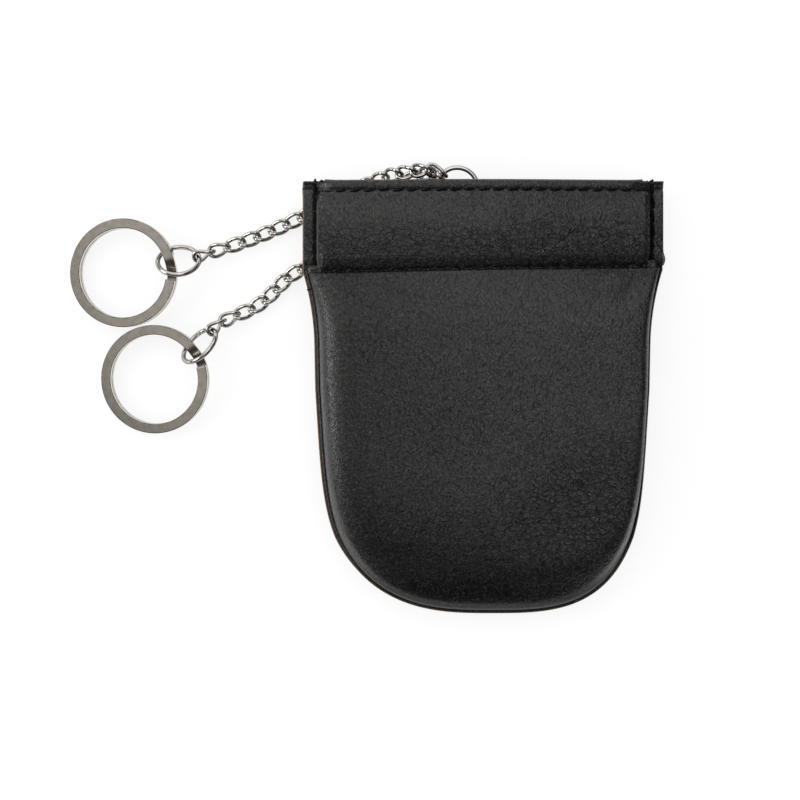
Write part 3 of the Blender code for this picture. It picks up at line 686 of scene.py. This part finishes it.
def panel_height(x, y, rim, depth, side, crown):
    """Height of the panel's outer face above the seam plane."""
    below = np.maximum(hem_y(x) - y, 0.0)
    rise = shoulder_rise(x, y)
    tucked = lip_gap(x) + TUCKED - TUCKED_FACE
    pulled = STITCH_PULL * (1.0 - hem_arc(x)) * np.exp(-below / 0.8) * (below > 0)
    swell = (1.0 - np.exp(-below / 0.16)) * (1.0 - rise) * HEM_SWELL
    top = mix(tucked, crown, rise) + swell - pulled
    low = smooth((-y - 12.0) / 34.0)
    right = right_share(x)
    steep = 1.0 + 4.0 * right
    at_hem, at_middle, at_bottom = DOME_POWERS
    power = mix(mix(at_hem, at_middle, rise) * steep, at_bottom, low)
    inner_rim = clamp(rim * (1.0 + BEAD / BODY_HALF_WIDTH))
    dome = np.sqrt(np.maximum(0.0, 1.0 - inner_rim ** power))
    soft_edge = smooth((depth - BEAD * 0.6) / FILLET) ** 0.6
    fillet = mix(1.0, soft_edge, mix(0.12 * right_share(-x), 0.85, low))
    turned = 0.10 * right * (1.0 - low) * clamp(1.0 - depth / 2.6) ** 2
    dome = RIM_RISE + (top - RIM_RISE) * dome * fillet * (1.0 - turned)
    across_bead = (depth - BEAD / 2) / (BEAD / 2)
    bead = SEAM_HALF_GAP + BEAD_RISE * np.sqrt(np.maximum(0.0, 1.0 - across_bead ** 2))
    height = np.maximum(dome, np.where(depth < BEAD, bead, 0.0))
    inside = smooth((depth - 1.2) / 2.5)
    height = height + inside * SLACK_RISE * wandering(x, y, 5 + (side < 0), 0.16)
    if side > 0:
        for points, width, amount in FRONT_CREASES:
            height = height + inside * crease(x, y, points, width, amount)
    return height


def panel_looks(x, y, depth, side):
    """Where the skin is slack or matte, where a highlight is painted along its rim, and where its cut edge
    is bare.
    """
    below = hem_y(x) - y
    corner = smooth((x + 4.0) / 34.0) * smooth((-y + 2.0) / 30.0)
    low = 0.3 * smooth((-y - 14.0) / 16.0)
    hem = 0.4 * np.exp(-np.maximum(below, 0.0) / 5.0) * smooth((np.abs(x) - 12.0) / 20.0)
    wrinkle = clamp(0.10 + 0.8 * corner + low + hem) * smooth((depth - 1.0) / 2.0)
    edge, tan, matte = np.zeros((3,) + x.shape)
    if side > 0:
        left = smooth(-x / 10.0)
        lower = mix(0.18 * left, 1.0, smooth((-y - 22.0 + 8.0 * left) / 18.0))
        # Painted highlight along the front's rim bead, strongest along the bottom
        rim_highlight = 0.75 * np.exp(-np.maximum(depth - BEAD - 0.15, 0.0) / 0.22)
        rim_highlight = rim_highlight + 0.20 * np.exp(-np.maximum(depth - BEAD, 0.0) / 1.0)
        edge = lower * rim_highlight * smooth((depth - BEAD + 0.05) / 0.15)
        rim_level = mix(0.9, 0.35, smooth((-y - 25.0) / 15.0))
        rim_matte = smooth((2.4 - depth) / 1.6) * right_share(x) * rim_level
        left_matte = mix(0.36, 0.0, smooth((x + 30.0) / 60.0)) * smooth((depth - 3.0) / 5.0)
        bottom_matte = 0.66 * smooth((-y - 34.0) / 11.0)
        matte = np.maximum(rim_matte, np.maximum(left_matte, bottom_matte))
    else:
        tan = smooth((0.34 - depth) / 0.2)
    return {"wrinkle": wrinkle, "edge": edge, "tan": tan, "matte": matte}


def both_faces(looks):
    """A sheet's looks, for its outer face and again for its inner face."""
    return {key: np.tile(values.reshape(-1), 2) for key, values in looks.items()}


def make_panel(side, crown, *counts):
    proud = BACK_PROUD if side < 0 else 0.0
    x, y, rim, depth = panel_grid(counts, -proud, TURNED_IN)
    z = SEAM_Z + side * panel_height(x, y, rim, depth, side, crown)
    if side < 0:
        z = 0.5 * (z + np.sqrt(z * z + TABLE_SOFTNESS))
        x = x - LEFT_PROUD * smooth((-x - 28.0) / 6.0)
    looks = panel_looks(x, y, depth, side)
    thickness = mix(RIM_SKIN, PANEL_SKIN, smooth((depth - 0.9) / 1.4))
    thickness = np.where(y > hem_y(x) - 1.0, HEM_SKIN, thickness)
    verts, faces = shell(np.stack([x, y, z], axis=-1), thickness, side < 0)
    return verts, faces, both_faces(looks)


def make_seam_edge():
    """The back panel's turned edge, glued to the front's along the side seams and the round seam."""
    rails = []
    for inset in (SEAM_EDGE_OUTER, SEAM_EDGE_INNER):
        places = np.stack(panel_grid((60, 40, 40), inset, TURNED_IN)[:2], axis=-1)
        left, low, right = places[::-1, 0], places[0, 1:-1], places[:, -1]
        rails.append(np.concatenate([left, low, right]))
    outer, inner = rails
    low_z, high_z = SEAM_Z - SEAM_EDGE_BELOW, SEAM_Z + SEAM_EDGE_ABOVE
    corners = ((outer, low_z), (outer, high_z), (inner, high_z), (inner, low_z))
    verts = np.stack([np.column_stack([rail, np.full(len(rail), z)]) for rail, z in corners], axis=1)
    faces = [(a, d, c, b) for a, b, c, d in tube_faces(len(outer), 4)]
    last = 4 * (len(outer) - 1)
    faces.append((0, 1, 2, 3))
    faces.append((last + 3, last + 2, last + 1, last))
    return verts.reshape(-1, 3), faces, {}


def end_pinch(x, y):
    """How far the band is pinched shut at its ends; it closes more slowly along its top fold."""
    low = smooth((np.abs(x) - CHANNEL_HALF_WIDTH) / (FLANGE_START - CHANNEL_HALF_WIDTH))
    high = smooth((np.abs(x) - TOP_PINCH_START) / (FLANGE_START + 0.6 - TOP_PINCH_START))
    return mix(low, high, smooth((y - UPPER_SEAM_Y + 1.6) / 1.6))


def band_flat(x, y):
    """Height of the band's outer wall, at half its thickness, above the seam plane."""
    pinch = end_pinch(x, y)
    open_outer = lip_gap(x) + CASING * 1.5 + CHANNEL_DEPTH
    outer = mix(open_outer, SEAM_HALF_GAP + CASING / 2, pinch)
    above_hem = y - hem_y(x)
    share = clamp(above_hem / (UPPER_SEAM_Y - hem_y(x)))
    fall = 0.36 * (1.0 - smooth(above_hem / 8.0)) + 0.15 * (1.0 - smooth(above_hem / 1.0))
    puff = (0.42 * np.sin(np.pi * share ** 0.85) - fall) * (1.0 - pinch)
    hole = 1.0 - hem_arc(x)
    below_seam = UPPER_SEAM_Y - y
    seam = (0.24 + 0.22 * hole) * bell(below_seam, 0.45)
    low_seam = (0.05 + 0.55 * hole ** 2) * bell(above_hem - LOWER_SEAM_ABOVE_HEM, 0.32)
    past_side_seam = np.abs(x) - SIDE_SEAM_X
    side_seam = 0.42 * bell(past_side_seam, 0.42) * smooth((BAND_TOP - 0.2 - y) / 1.2)
    lip = 0.2 * bell(past_side_seam + LIP_INSET, 0.28) * smooth((below_seam - 0.8) / 0.8)
    ripple = 0.05 * (0.5 - hole) * np.exp(-np.abs(0.9 - below_seam) / 0.7)
    ripple = ripple + 0.06 * (0.5 - hole) * np.exp(-np.abs(above_hem - 1.4) / 0.8)
    return outer + puff - np.maximum(np.maximum(seam, low_seam), side_seam) + ripple + lip


def make_band(side, x_outer, inner_rows, fold_rows, wall_rows):
    """The casing: up the inner wall, over the mouth's edge and down the outer wall."""
    x_inner = x_outer * INNER_WALL_HALF_WIDTH / BAND_HALF_WIDTH
    inner = lip_gap(x_inner) + CASING / 2
    band_top = np.full(x_outer.shape, BAND_TOP)
    outer_top = band_flat(x_outer, band_top)
    closed = end_pinch(x_outer, band_top)
    inner_top = mix(inner, SEAM_HALF_GAP, closed)
    radius = np.maximum((outer_top - inner_top) / 2, 0.02)
    fold_y = BAND_TOP - CASING / 2 - radius
    low_edge = hem_y(x_outer) + HEM_SCALLOP * hem_arc(x_outer)
    points = []
    for share in np.linspace(0.0, 1.0, inner_rows, endpoint=False):
        y = mix(hem_y(x_inner), fold_y, share)
        points.append((x_inner, y, mix(inner, inner_top, share ** 2)))
    for step in range(fold_rows + 1):
        turn = math.pi * step / fold_rows
        height = (inner_top + outer_top) / 2 - radius * math.cos(turn)
        points.append((x_outer, fold_y + radius * math.sin(turn), height))
    for share in np.linspace(0.0, 1.0, wall_rows + 1)[1:]:
        y = mix(fold_y, low_edge, share)
        points.append((x_outer, y, band_flat(x_outer, y)))
    x, y, height = np.array(points).transpose(1, 0, 2)
    turned_rows = fold_rows * 0.6
    past_inner = np.arange(len(points))[:, None] - inner_rows
    wall = smooth((past_inner - turned_rows) / turned_rows)
    raised = FLANGE_RISE * closed * smooth((y - fold_y.min() + 4.0) / 4.0)
    y = y + raised
    height = height + wall * 0.05 * wandering(x, y, 11 + side, 0.22) * (1.0 - end_pinch(x, y))
    if side > 0:
        height = height + wall * crease(x, y, *BAND_CREASE)
        bulge = bell(y - BULGE_Y, 1.2) * smooth((x - 38.0) / 2.6)
        x = x + BULGE_OUT * bulge
        height = height + wall * BULGE_RISE * bulge
    else:
        x = x - LEFT_PROUD * smooth((-x - 38.0) / 2.5) * wall
    grid = np.stack([x, y, SEAM_Z + side * height], axis=-1)
    outward = vertex_normals(grid.reshape(-1, 3), grid_faces(*x.shape, side < 0))
    grid = grid + outward.reshape(grid.shape) * CASING / 2
    near_hem = wall * (1.0 - smooth((y - hem_y(x)) / 3.0))
    verts, faces = shell(grid, mix(CASING, HEM_THICKNESS, near_hem), side < 0)
    outside = past_inner >= 0
    end_wear = smooth((np.abs(x) - BAND_HALF_WIDTH + 0.12) / 0.1)
    top_wear = 0.3 * smooth((y - raised - BAND_TOP + 0.15) / 0.15)
    if side > 0:
        # Painted highlight on the lip inside the left side seam, together with wear at the band's ends
        lip_highlight = 0.8 * bell(x + SIDE_SEAM_X - LIP_INSET, 0.2) * smooth((UPPER_SEAM_Y - 1.5 - y) / 2.0)
        wear_and_highlight = np.maximum(0.35 * end_wear, lip_highlight * wall) * outside
        brown = np.maximum(0.35 * end_wear, top_wear) * outside
    else:
        wear_and_highlight = np.zeros(x.shape)
        brown = np.maximum(end_wear, top_wear) * outside
    slack = 0.2 + 0.5 * smooth((UPPER_SEAM_Y - 4.0 - y) / 9.0)
    return verts, faces, both_faces({"wrinkle": slack, "edge": wear_and_highlight, "tan": 0.55 * brown})


def make_lining(side, crown, *counts):
    x, y, rim, _ = panel_grid(counts, LINING_INSET, ())
    y = y - smooth((y - 10.0) / 19.0) * LINING_BELOW_HEM
    rise = shoulder_rise(x, y)
    top = mix(lip_gap(x) + TUCKED, crown, rise) - LINING_INSET
    dome = np.sqrt(np.maximum(0.0, 1.0 - rim ** mix(*LINING_POWERS, rise)))
    z = SEAM_Z + side * (RIM_RISE + (top - RIM_RISE) * dome)
    if side < 0:
        z = np.maximum(z, LINING_INSET)
    return (*shell(np.stack([x, y, z], axis=-1), LINING_THICKNESS, side < 0), {})


# Sewing

def stitch_tubes(stitches, height_at, side):
    """Each stitch is a short thread that rises out of one hole and dips into the next."""
    around = 8
    along = 9
    verts, faces = [], []
    turn = 2.0 * np.pi * np.arange(around) / around
    share = np.linspace(0.0, 1.0, along)
    for number, (start, end, thread) in enumerate(stitches):
        flat = np.outer(1.0 - share, start) + np.outer(share, end)
        lift = thread * (1.5 * np.sin(np.pi * share) ** 0.7 - 0.9)
        height = height_at(flat[:, 0], flat[:, 1]) + lift
        path = np.column_stack([flat, SEAM_Z + side * height])
        tangent = unit(np.gradient(path, axis=0))
        across = unit(np.cross(tangent, (0.0, 0.0, 1.0)))
        up = np.cross(across, tangent)
        radius = thread * (0.72 + 0.28 * np.sin(np.pi * share))[:, None, None]
        ring = across[:, None] * np.cos(turn)[:, None] + up[:, None] * np.sin(turn)[:, None]
        verts.append((path[:, None] + ring * radius).reshape(-1, 3))
        faces += tube_faces(along, around, base=number * along * around)
    return np.concatenate(verts), np.array(faces), {}


def seam_stitches(side):
    rng = np.random.default_rng(3 if side > 0 else 4)
    stitches = []

    def row(first, last, drift, length=STITCH_LENGTH, thread=THREAD_RADIUS, bow=0.0):
        first, last = np.array(first), np.array(last)
        count = int(round(np.linalg.norm(last - first) / STITCH_PITCH))
        step = (last - first) / count
        along = unit(step)
        normal = np.array((-along[1], along[0]))
        for k in range(count):
            place = (k + 0.5) / count
            scatter = rng.normal(0.0, STITCH_SCATTER, 2)
            middle = first + step * (k + 0.5) + scatter + normal * bow * math.sin(math.pi * place)
            half = along * length / 2 + normal * drift
            stitches.append((middle - half, middle + half, thread))

    row((-37.2, UPPER_SEAM_Y - 0.25), (37.0, UPPER_SEAM_Y), 0.12)
    hem_ends = [(x, hem_y(x) + LOWER_SEAM_ABOVE_HEM) for x in (SEAM_PHASE, SEAM_END)]
    row(*hem_ends, 0.05, HEM_STITCH_LENGTH, HEM_THREAD_RADIUS)
    for x, bow in ((-SIDE_SEAM_X, 0.1), (SIDE_SEAM_X, 0.35)):
        row((x, 49.2), (x, hem_y(x) + 0.5), 0.16, SIDE_STITCH_LENGTH, SIDE_THREAD_RADIUS, bow)
    return stitch_tubes(stitches, lambda x, y: band_flat(x, y) + CASING / 2, side)


# The middle and the size of each knot
KNOTS = ((-38.3, 49.6, 0.22), (-40.85, 47.5, 0.24), (40.0, 46.9, 0.24), (-40.6, 29.2, 0.26),
         (38.6, 49.5, 0.2))
STRAY_END = ((-39.4, 24.65), (-40.15, 24.5), 0.18)
KNOT_RISE = 0.5


def thread_ends():
    """Knots and one cut end where the seams start and stop."""
    stitches = []
    for x, y, size in KNOTS:
        for turn in np.radians((20.0, 80.0, 140.0)):
            reach = size * np.array((math.cos(turn), math.sin(turn)))
            stitches.append((np.array((x, y)) - reach, np.array((x, y)) + reach, size * 0.62))
    stitches.append(STRAY_END)
    return stitch_tubes(stitches, lambda x, y: np.full(x.shape, KNOT_RISE), 1)


# Wire pieces

def show_wire(node, path, up, section, closed, material, shade_for):
    """A wire shown for its solid: a section carried along a path.

    The section's first axis lies across the path and its second is up.
    """
    if closed:
        tangent = unit(np.roll(path, -1, axis=0) - np.roll(path, 1, axis=0))
    else:
        tangent = unit(np.gradient(path, axis=0))
    lift = unit(up - tangent * (tangent @ up)[:, None])
    across = np.cross(tangent, lift)
    verts = path[:, None] + across[:, None] * section[:, :1] + lift[:, None] * section[:, 1:]
    count, around = len(path), len(section)
    faces = tube_faces(count, around, closed)
    if not closed:
        faces.append(tuple(range(around))[::-1])
        faces.append(tuple((count - 1) * around + m for m in range(around)))
    # Each point carries its share of painted shade
    looks = {"wire_shade": shade_for(verts, path, lift).reshape(-1)}
    wire = finish_mesh("%s_wire" % node, material, verts.reshape(-1, 3), faces, looks)
    dress(wire, "nickel", node)
    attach(wire, node)


def round_wire_shade(verts, path, lift):
    """Painted shade: round wire is coloured darker on its flanks than on its upper and lower sides."""
    out = unit(verts - path[:, None])
    return smooth((0.72 - np.abs(out[:, :, 2])) / 0.27)


def flat_wire_shade(verts, path, lift):
    """Painted shade: flat wire is coloured darker along its four corners alone."""
    out = verts - path[:, None]
    up = np.abs(np.einsum("kmc,kc->km", out, lift))
    wide = np.sqrt(np.maximum(np.sum(out ** 2, axis=2) - up ** 2, 0.0))
    flat_half, flat_rise = (half - KEY_WIRE_ROUND for half in KEY_WIRE_HALF)
    return np.where((up > flat_rise) & (wide > flat_half), 1.0, 0.0)


def round_section(radius, steps):
    turn = 2.0 * np.pi * np.arange(steps) / steps
    return np.column_stack([radius * np.cos(turn), radius * np.sin(turn)])


def rounded_rectangle(half_x, half_y, corner, steps):
    """A section with rounded corners, and a point on each flat beside them."""
    core_x, core_y = half_x - corner, half_y - corner
    on_face, off_face = (core_x - KEY_FLAT_START, half_y), (half_x, core_y - KEY_FLAT_START)
    points = []
    for cx, cy, first in ((1, 1, 0), (-1, 1, 90), (-1, -1, 180), (1, -1, 270)):
        before, after = (off_face, on_face) if cx * cy > 0 else (on_face, off_face)
        points.append((cx * before[0], cy * before[1]))
        for k in range(steps + 1):
            turn = math.radians(first + 90.0 * k / steps)
            points.append((cx * core_x + corner * math.cos(turn), cy * core_y + corner * math.sin(turn)))
        points.append((cx * after[0], cy * after[1]))
    return np.array(points)


def node_points(node):
    """A solid's corners, each once, in millimetres."""
    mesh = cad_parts[node].data
    places = np.array([vertex.co for vertex in mesh.vertices]) / MM
    return np.unique(np.round(places, 4), axis=0)


def node_centre(node):
    low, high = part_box(node)
    return np.array((low + high) / 2) / MM


def make_link(node):
    """A curb link laid in its solid's place: the solid's own long, wide and thin directions."""
    places = node_points(node)
    centre = places.mean(axis=0)
    _, axes = np.linalg.eigh(np.cov((places - centre).T))
    along, across = axes[:, 2], axes[:, 1]
    thin = np.cross(along, across)
    turn = 2.0 * np.pi * np.arange(LINK_STEPS) / LINK_STEPS
    rise = LINK_RISE * np.sin(2.0 * turn)
    local = np.column_stack([LINK_REACH * np.cos(turn), LINK_BREADTH * np.sin(turn), rise])
    path = centre + local @ np.array([along, across, thin])
    show_wire(node, path, thin, round_section(LINK_WIRE, 20), True, LIGHTENED_NICKEL, round_wire_shade)


def make_ring(node, *degrees):
    """A round-wire ring, from its bearing, its lean and the place of its split."""
    bearing, lean, split = np.radians(degrees)
    level = np.array((math.cos(bearing), math.sin(bearing), 0.0))
    across = np.array((-math.sin(bearing), math.cos(bearing), 0.0))
    dip = across * math.cos(lean) - np.array((0.0, 0.0, math.sin(lean)))
    opening = RING_SPLIT / RING_RADIUS
    turn = split + np.linspace(opening / 2, 2.0 * np.pi - opening / 2, RING_STEPS + 1)
    path = node_centre(node) + RING_RADIUS * (np.outer(np.cos(turn), level) + np.outer(np.sin(turn), dip))
    section = round_section(RING_WIRE, 24)
    show_wire(node, path, np.cross(level, dip), section, False, LIGHTENED_NICKEL, round_wire_shade)


def make_key_ring(node, *degrees):
    """Flat wire wound nearly twice, from its bearing, its tilt and where the wire starts."""
    bearing, tilt, start = np.radians(degrees)
    jog = KEY_JOG_START - KEY_JOG_END
    coil = 2.0 * math.pi - jog
    turned = np.linspace(0.0, 2.0 * coil + jog, KEY_RING_STEPS + 1)
    height = mix(KEY_COIL_RISE, -KEY_COIL_RISE, smooth((turned - coil) / jog))
    turn = KEY_JOG_END + start - turned
    local = np.column_stack([KEY_RING_RADIUS * np.cos(turn), KEY_RING_RADIUS * np.sin(turn), height])
    hinge = Vector((-math.sin(bearing), math.cos(bearing), 0.0))
    tilted = np.array(Matrix.Rotation(tilt, 3, hinge))
    path = node_centre(node) + local @ tilted.T
    section = rounded_rectangle(*KEY_WIRE_HALF, KEY_WIRE_ROUND, 4)
    show_wire(node, path, tilted @ np.array((0.0, 0.0, 1.0)), section, False, DARKENED_NICKEL, flat_wire_shade)


# Build the pouch

front = make_panel(1, FRONT_CROWN, 220, 110, 120)
sewn_front("front_panel_skin", LEATHER, front, "leather", "front_panel")
back = make_panel(-1, BACK_CROWN, 140, 70, 80)
pouch_piece("back_panel_skin", LEATHER, back, "leather", "back_panel")
pouch_piece("back_panel_seam_edge", LEATHER, make_seam_edge(), "leather", "back_panel")

band_columns = np.concatenate([
    np.linspace(-BAND_HALF_WIDTH, -BAND_MIDDLE, 28, endpoint=False),
    np.linspace(-BAND_MIDDLE, BAND_MIDDLE, 230, endpoint=False),
    np.linspace(BAND_MIDDLE, BAND_HALF_WIDTH, 29),
])
front_band = make_band(1, band_columns, 8, 12, 64)
lip_piece("front_band_skin", BAND_LEATHER, front_band, "leather", "front_casing")
back_band = make_band(-1, band_columns[::2], 8, 12, 40)
pouch_piece("back_band_skin", BAND_LEATHER, back_band, "leather", "back_casing")

front_lining = make_lining(1, FRONT_CROWN, 60, 26, 26)
sewn_front("front_lining_cloth", FABRIC, front_lining, "lining", "front_lining")
back_lining = make_lining(-1, BACK_CROWN, 60, 26, 26)
pouch_piece("back_lining_cloth", FABRIC, back_lining, "lining", "back_lining")

lip_piece("front_band_thread", THREAD, seam_stitches(1), "leather")
pouch_piece("back_band_thread", THREAD, seam_stitches(-1), "leather")
pouch_piece("thread_ends", THREAD, thread_ends(), "leather")


def make_tab():
    """The leather loop that holds the anchor ring to the back casing's inner wall."""
    ring = node_centre("anchor_ring")
    layer = RING_WIRE + TAB_PLAY + TAB_THICKNESS / 2
    sagitta = RING_RADIUS - math.sqrt(RING_RADIUS ** 2 - (TAB_WIDTH / 2) ** 2)
    wire_low = ring[1] - RING_RADIUS
    bend_y = wire_low + sagitta + TAB_PLAY
    low_y = bend_y - TAB_LENGTH
    join_y = wire_low - TAB_JOIN_BELOW_WIRE
    flat = -layer + TAB_THICKNESS + TAB_GLUE
    path = [(low_y, -layer), (mix(low_y, join_y, 0.5), -layer), (join_y, -layer), (bend_y, -layer)]
    for step in range(1, TAB_BEND_STEPS):
        turn = math.pi * step / TAB_BEND_STEPS
        path.append((bend_y + layer * math.sin(turn), -layer * math.cos(turn)))
    path += [(bend_y, layer), (wire_low - RING_WIRE, layer * 0.98), (join_y - 0.7, layer * 0.2)]
    path += [(join_y - 2.0, flat), (low_y, flat)]
    y, height = np.array(path).T[:, :, None]
    x = ring[0] + TAB_WIDTH * (np.linspace(0.0, 1.0, 9) - 0.5)
    grid = np.stack(np.broadcast_arrays(x, y, SEAM_Z + height), axis=-1)
    outward = vertex_normals(grid.reshape(-1, 3), grid_faces(len(y), len(x)))
    grid = grid + outward.reshape(grid.shape) * TAB_THICKNESS / 2
    verts, faces = shell(grid, TAB_THICKNESS, False)
    return verts, faces, {"wrinkle": np.full(len(verts), 0.3)}


pouch_piece("ring_tab_strap", LEATHER, make_tab(), "leather", "ring_tab")

# Chains and rings
for node in sorted(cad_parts):
    if "_chain_link_" in node:
        make_link(node)
make_ring("anchor_ring", 0.0, 0.0, -90.0)
make_ring("upper_jump_ring", -1.6, 42.1, 190.0)
make_ring("lower_jump_ring", 43.5, 54.0, 65.0)
make_key_ring("upper_key_ring", 192.0, 6.6, 0.0)
make_key_ring("lower_key_ring", 215.8, 6.5, 24.0)


def springy_halves(node, columns):
    """The solid's own form, cut at the middle into two halves, each cut into narrow columns."""
    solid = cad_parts[node]
    halves = []
    for word, side in (("left", -1.0), ("right", 1.0)):
        form = bmesh.new()
        form.from_mesh(solid.data)
        form.transform(solid.matrix_world)

        def cut(place, normal, **settings):
            everything = form.verts[:] + form.edges[:] + form.faces[:]
            bmesh.ops.bisect_plane(form, geom=everything, plane_co=place, plane_no=normal, **settings)

        cut((0, 0, 0), (-side, 0, 0), clear_outer=True)
        for place in np.linspace(0.0, PIN_X * MM, columns, endpoint=False)[1:]:
            cut((side * place, 0, 0), (1, 0, 0))
        name = "front_spring_blade_%s" % word
        mesh = bpy.data.meshes.new(name)
        form.to_mesh(mesh)
        form.free()
        mesh.materials.clear()
        mesh.materials.append(STEEL)
        half = add_object(name, mesh)
        dress(half, "spring_steel", node)
        halves.append(half)
    return halves


# Spring frame inside the casings
bend_with_mouth(*springy_halves("front_spring_strip", 24))
for node in ("back_spring_strip", "left_frame_pin", "right_frame_pin"):
    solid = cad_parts[node]
    for slot in solid.material_slots:
        slot.material = STEEL


# Camera, in millimetres but for the photo's width in pixels
PHOTO_WIDTH = 800
PIXEL = 0.2335
CAMERA_PLACE = (-18.97, -0.57, 290.0)
SENSOR_WIDTH = 36.0

# Floor and light, in metres
FLOOR_REACH = 1.5
FLOOR_Z = -0.00005
FLOOR_GREY = (0.28, 0.28, 0.28, 1)
FLOOR_GLOW = 0.76
DULL_LEVEL = 0.85
OVERHEAD_LEVEL = 0.46
SKY_LEVEL = 0.31
POUCH_LEVEL = 1.5
OVERHEAD_DIRECTION = (-0.12, 0.15, 0.97)
WARM_TINT = (1, 0.955, 0.885, 1)
COOL_TINT = (0.97, 0.98, 1.0, 1)
WHITE = (1, 1, 1, 1)


def make_camera():
    """Looks straight down from the photo's height, at the photo's scale on the table."""
    data = bpy.data.cameras.new("camera")
    data.sensor_width = SENSOR_WIDTH
    data.lens = SENSOR_WIDTH / 2 / (PHOTO_WIDTH / 2 * PIXEL / CAMERA_PLACE[2])
    data.clip_start = 0.01
    camera = add_object("camera", data)
    camera.location = [place * MM for place in CAMERA_PLACE]
    bpy.context.scene.camera = camera


def ray_kinds(tree, *kinds):
    """1 for the named kinds of ray, 0 for the rest."""
    paths = add_node(tree, "LightPath")
    total = paths.outputs[kinds[0]]
    for kind in kinds[1:]:
        total = math_node(tree, "MAXIMUM", total, paths.outputs[kind])
    return total


def mix_shader(tree, share, first, second):
    return add_node(tree, "MixShader", {0: share, 1: first, 2: second}).outputs[0]


def backdrop(tree, colour, strength):
    return add_node(tree, "Background", {"Color": colour, "Strength": strength}).outputs[0]


def make_floor():
    """A pale floor, brighter where it is seen or mirrored than as a light on the pouch."""
    mesh = bpy.data.meshes.new("floor")
    corners = ((-1, -1), (1, -1), (1, 1), (-1, 1))
    mesh.from_pydata([(x * FLOOR_REACH, y * FLOOR_REACH, FLOOR_Z) for x, y in corners], [], [(0, 1, 2, 3)])
    floor = add_object("floor", mesh)
    material, tree, shader = new_material("pale_floor")
    set_inputs(tree, shader, {"Base Color": FLOOR_GREY, "Roughness": 0.9, "Specular IOR Level": 0.0})
    glow = add_node(tree, "Emission", {"Color": WHITE, "Strength": FLOOR_GLOW}).outputs[0]
    lit = add_node(tree, "AddShader", {0: shader.outputs[0], 1: glow}).outputs[0]
    seen = ray_kinds(tree, "Is Camera Ray", "Is Glossy Ray", "Is Transmission Ray")
    surface = mix_shader(tree, seen, shader.outputs[0], lit)
    set_inputs(tree, tree.nodes["Material Output"], {"Surface": surface})
    mesh.materials.append(material)


def mirrored_room(tree):
    """What shiny surfaces mirror: dark low down and to the right, bright over the far side."""
    direction = add_node(tree, "TexCoord").outputs["Generated"]
    x, y, z = add_node(tree, "SeparateXYZ", {0: direction}).outputs
    overhead = ramp(tree, z, 0.42, 0.62, 1.0, SKY_LEVEL)
    horizon = ramp(tree, z, 0.30, 0.46, 0.14, 1.0)
    near_side = ramp(tree, z, 0.45, 0.70, 0.30, 0.16)
    side_level = ramp(tree, y, -0.40, 0.70, near_side, 1.0)
    right_level = ramp(tree, x, 0.25, 0.6, 1.0, 0.1)
    level = times(tree, times(tree, times(tree, overhead, horizon), side_level), right_level)
    lean = {0: direction, 1: OVERHEAD_DIRECTION}
    straight_up = add_node(tree, "VectorMath", lean, operation="DOT_PRODUCT").outputs["Value"]
    over_pouch = ramp(tree, x, -0.20, 0.30)
    top_level = plus(tree, times(tree, over_pouch, POUCH_LEVEL - OVERHEAD_LEVEL), OVERHEAD_LEVEL)
    top_light = times(tree, ramp(tree, straight_up, 0.85, 0.945), top_level)
    tint = mix_colour(tree, over_pouch, WARM_TINT, COOL_TINT)
    return backdrop(tree, tint, math_node(tree, "MAXIMUM", level, top_light))


def make_room():
    """White to the camera, even light on dull surfaces, and a shaped room for mirrored rays."""
    world = bpy.data.worlds.new("studio")
    world.use_nodes = True
    bpy.context.scene.world = world
    tree = world.node_tree
    even = tree.nodes["Background"]
    set_inputs(tree, even, {"Color": WHITE, "Strength": DULL_LEVEL})
    room = mix_shader(tree, ray_kinds(tree, "Is Glossy Ray"), even.outputs[0], mirrored_room(tree))
    seen = ray_kinds(tree, "Is Camera Ray", "Is Transmission Ray")
    surface = mix_shader(tree, seen, room, backdrop(tree, WHITE, 1.0))
    set_inputs(tree, tree.nodes["World Output"], {"Surface": surface})


def add_area(name, place, size, power):
    """A square lamp that faces the pouch."""
    data = bpy.data.lights.new(name, "AREA")
    data.shape = "SQUARE"
    data.size = size
    data.energy = power
    lamp = add_object(name, data)
    lamp.location = place
    lamp.rotation_euler = (-lamp.location).to_track_quat("-Z", "Y").to_euler()


make_camera()
make_floor()
make_room()
add_area("key", (-0.30, 0.78, 0.72), 1.2, 1.8)
add_area("fill_left", (-0.95, 0.05, 0.5), 0.45, 2.2)
add_area("fill_right", (0.95, -0.15, 0.5), 0.6, 0.15)

bpy.context.scene.view_settings.view_transform = "Standard"
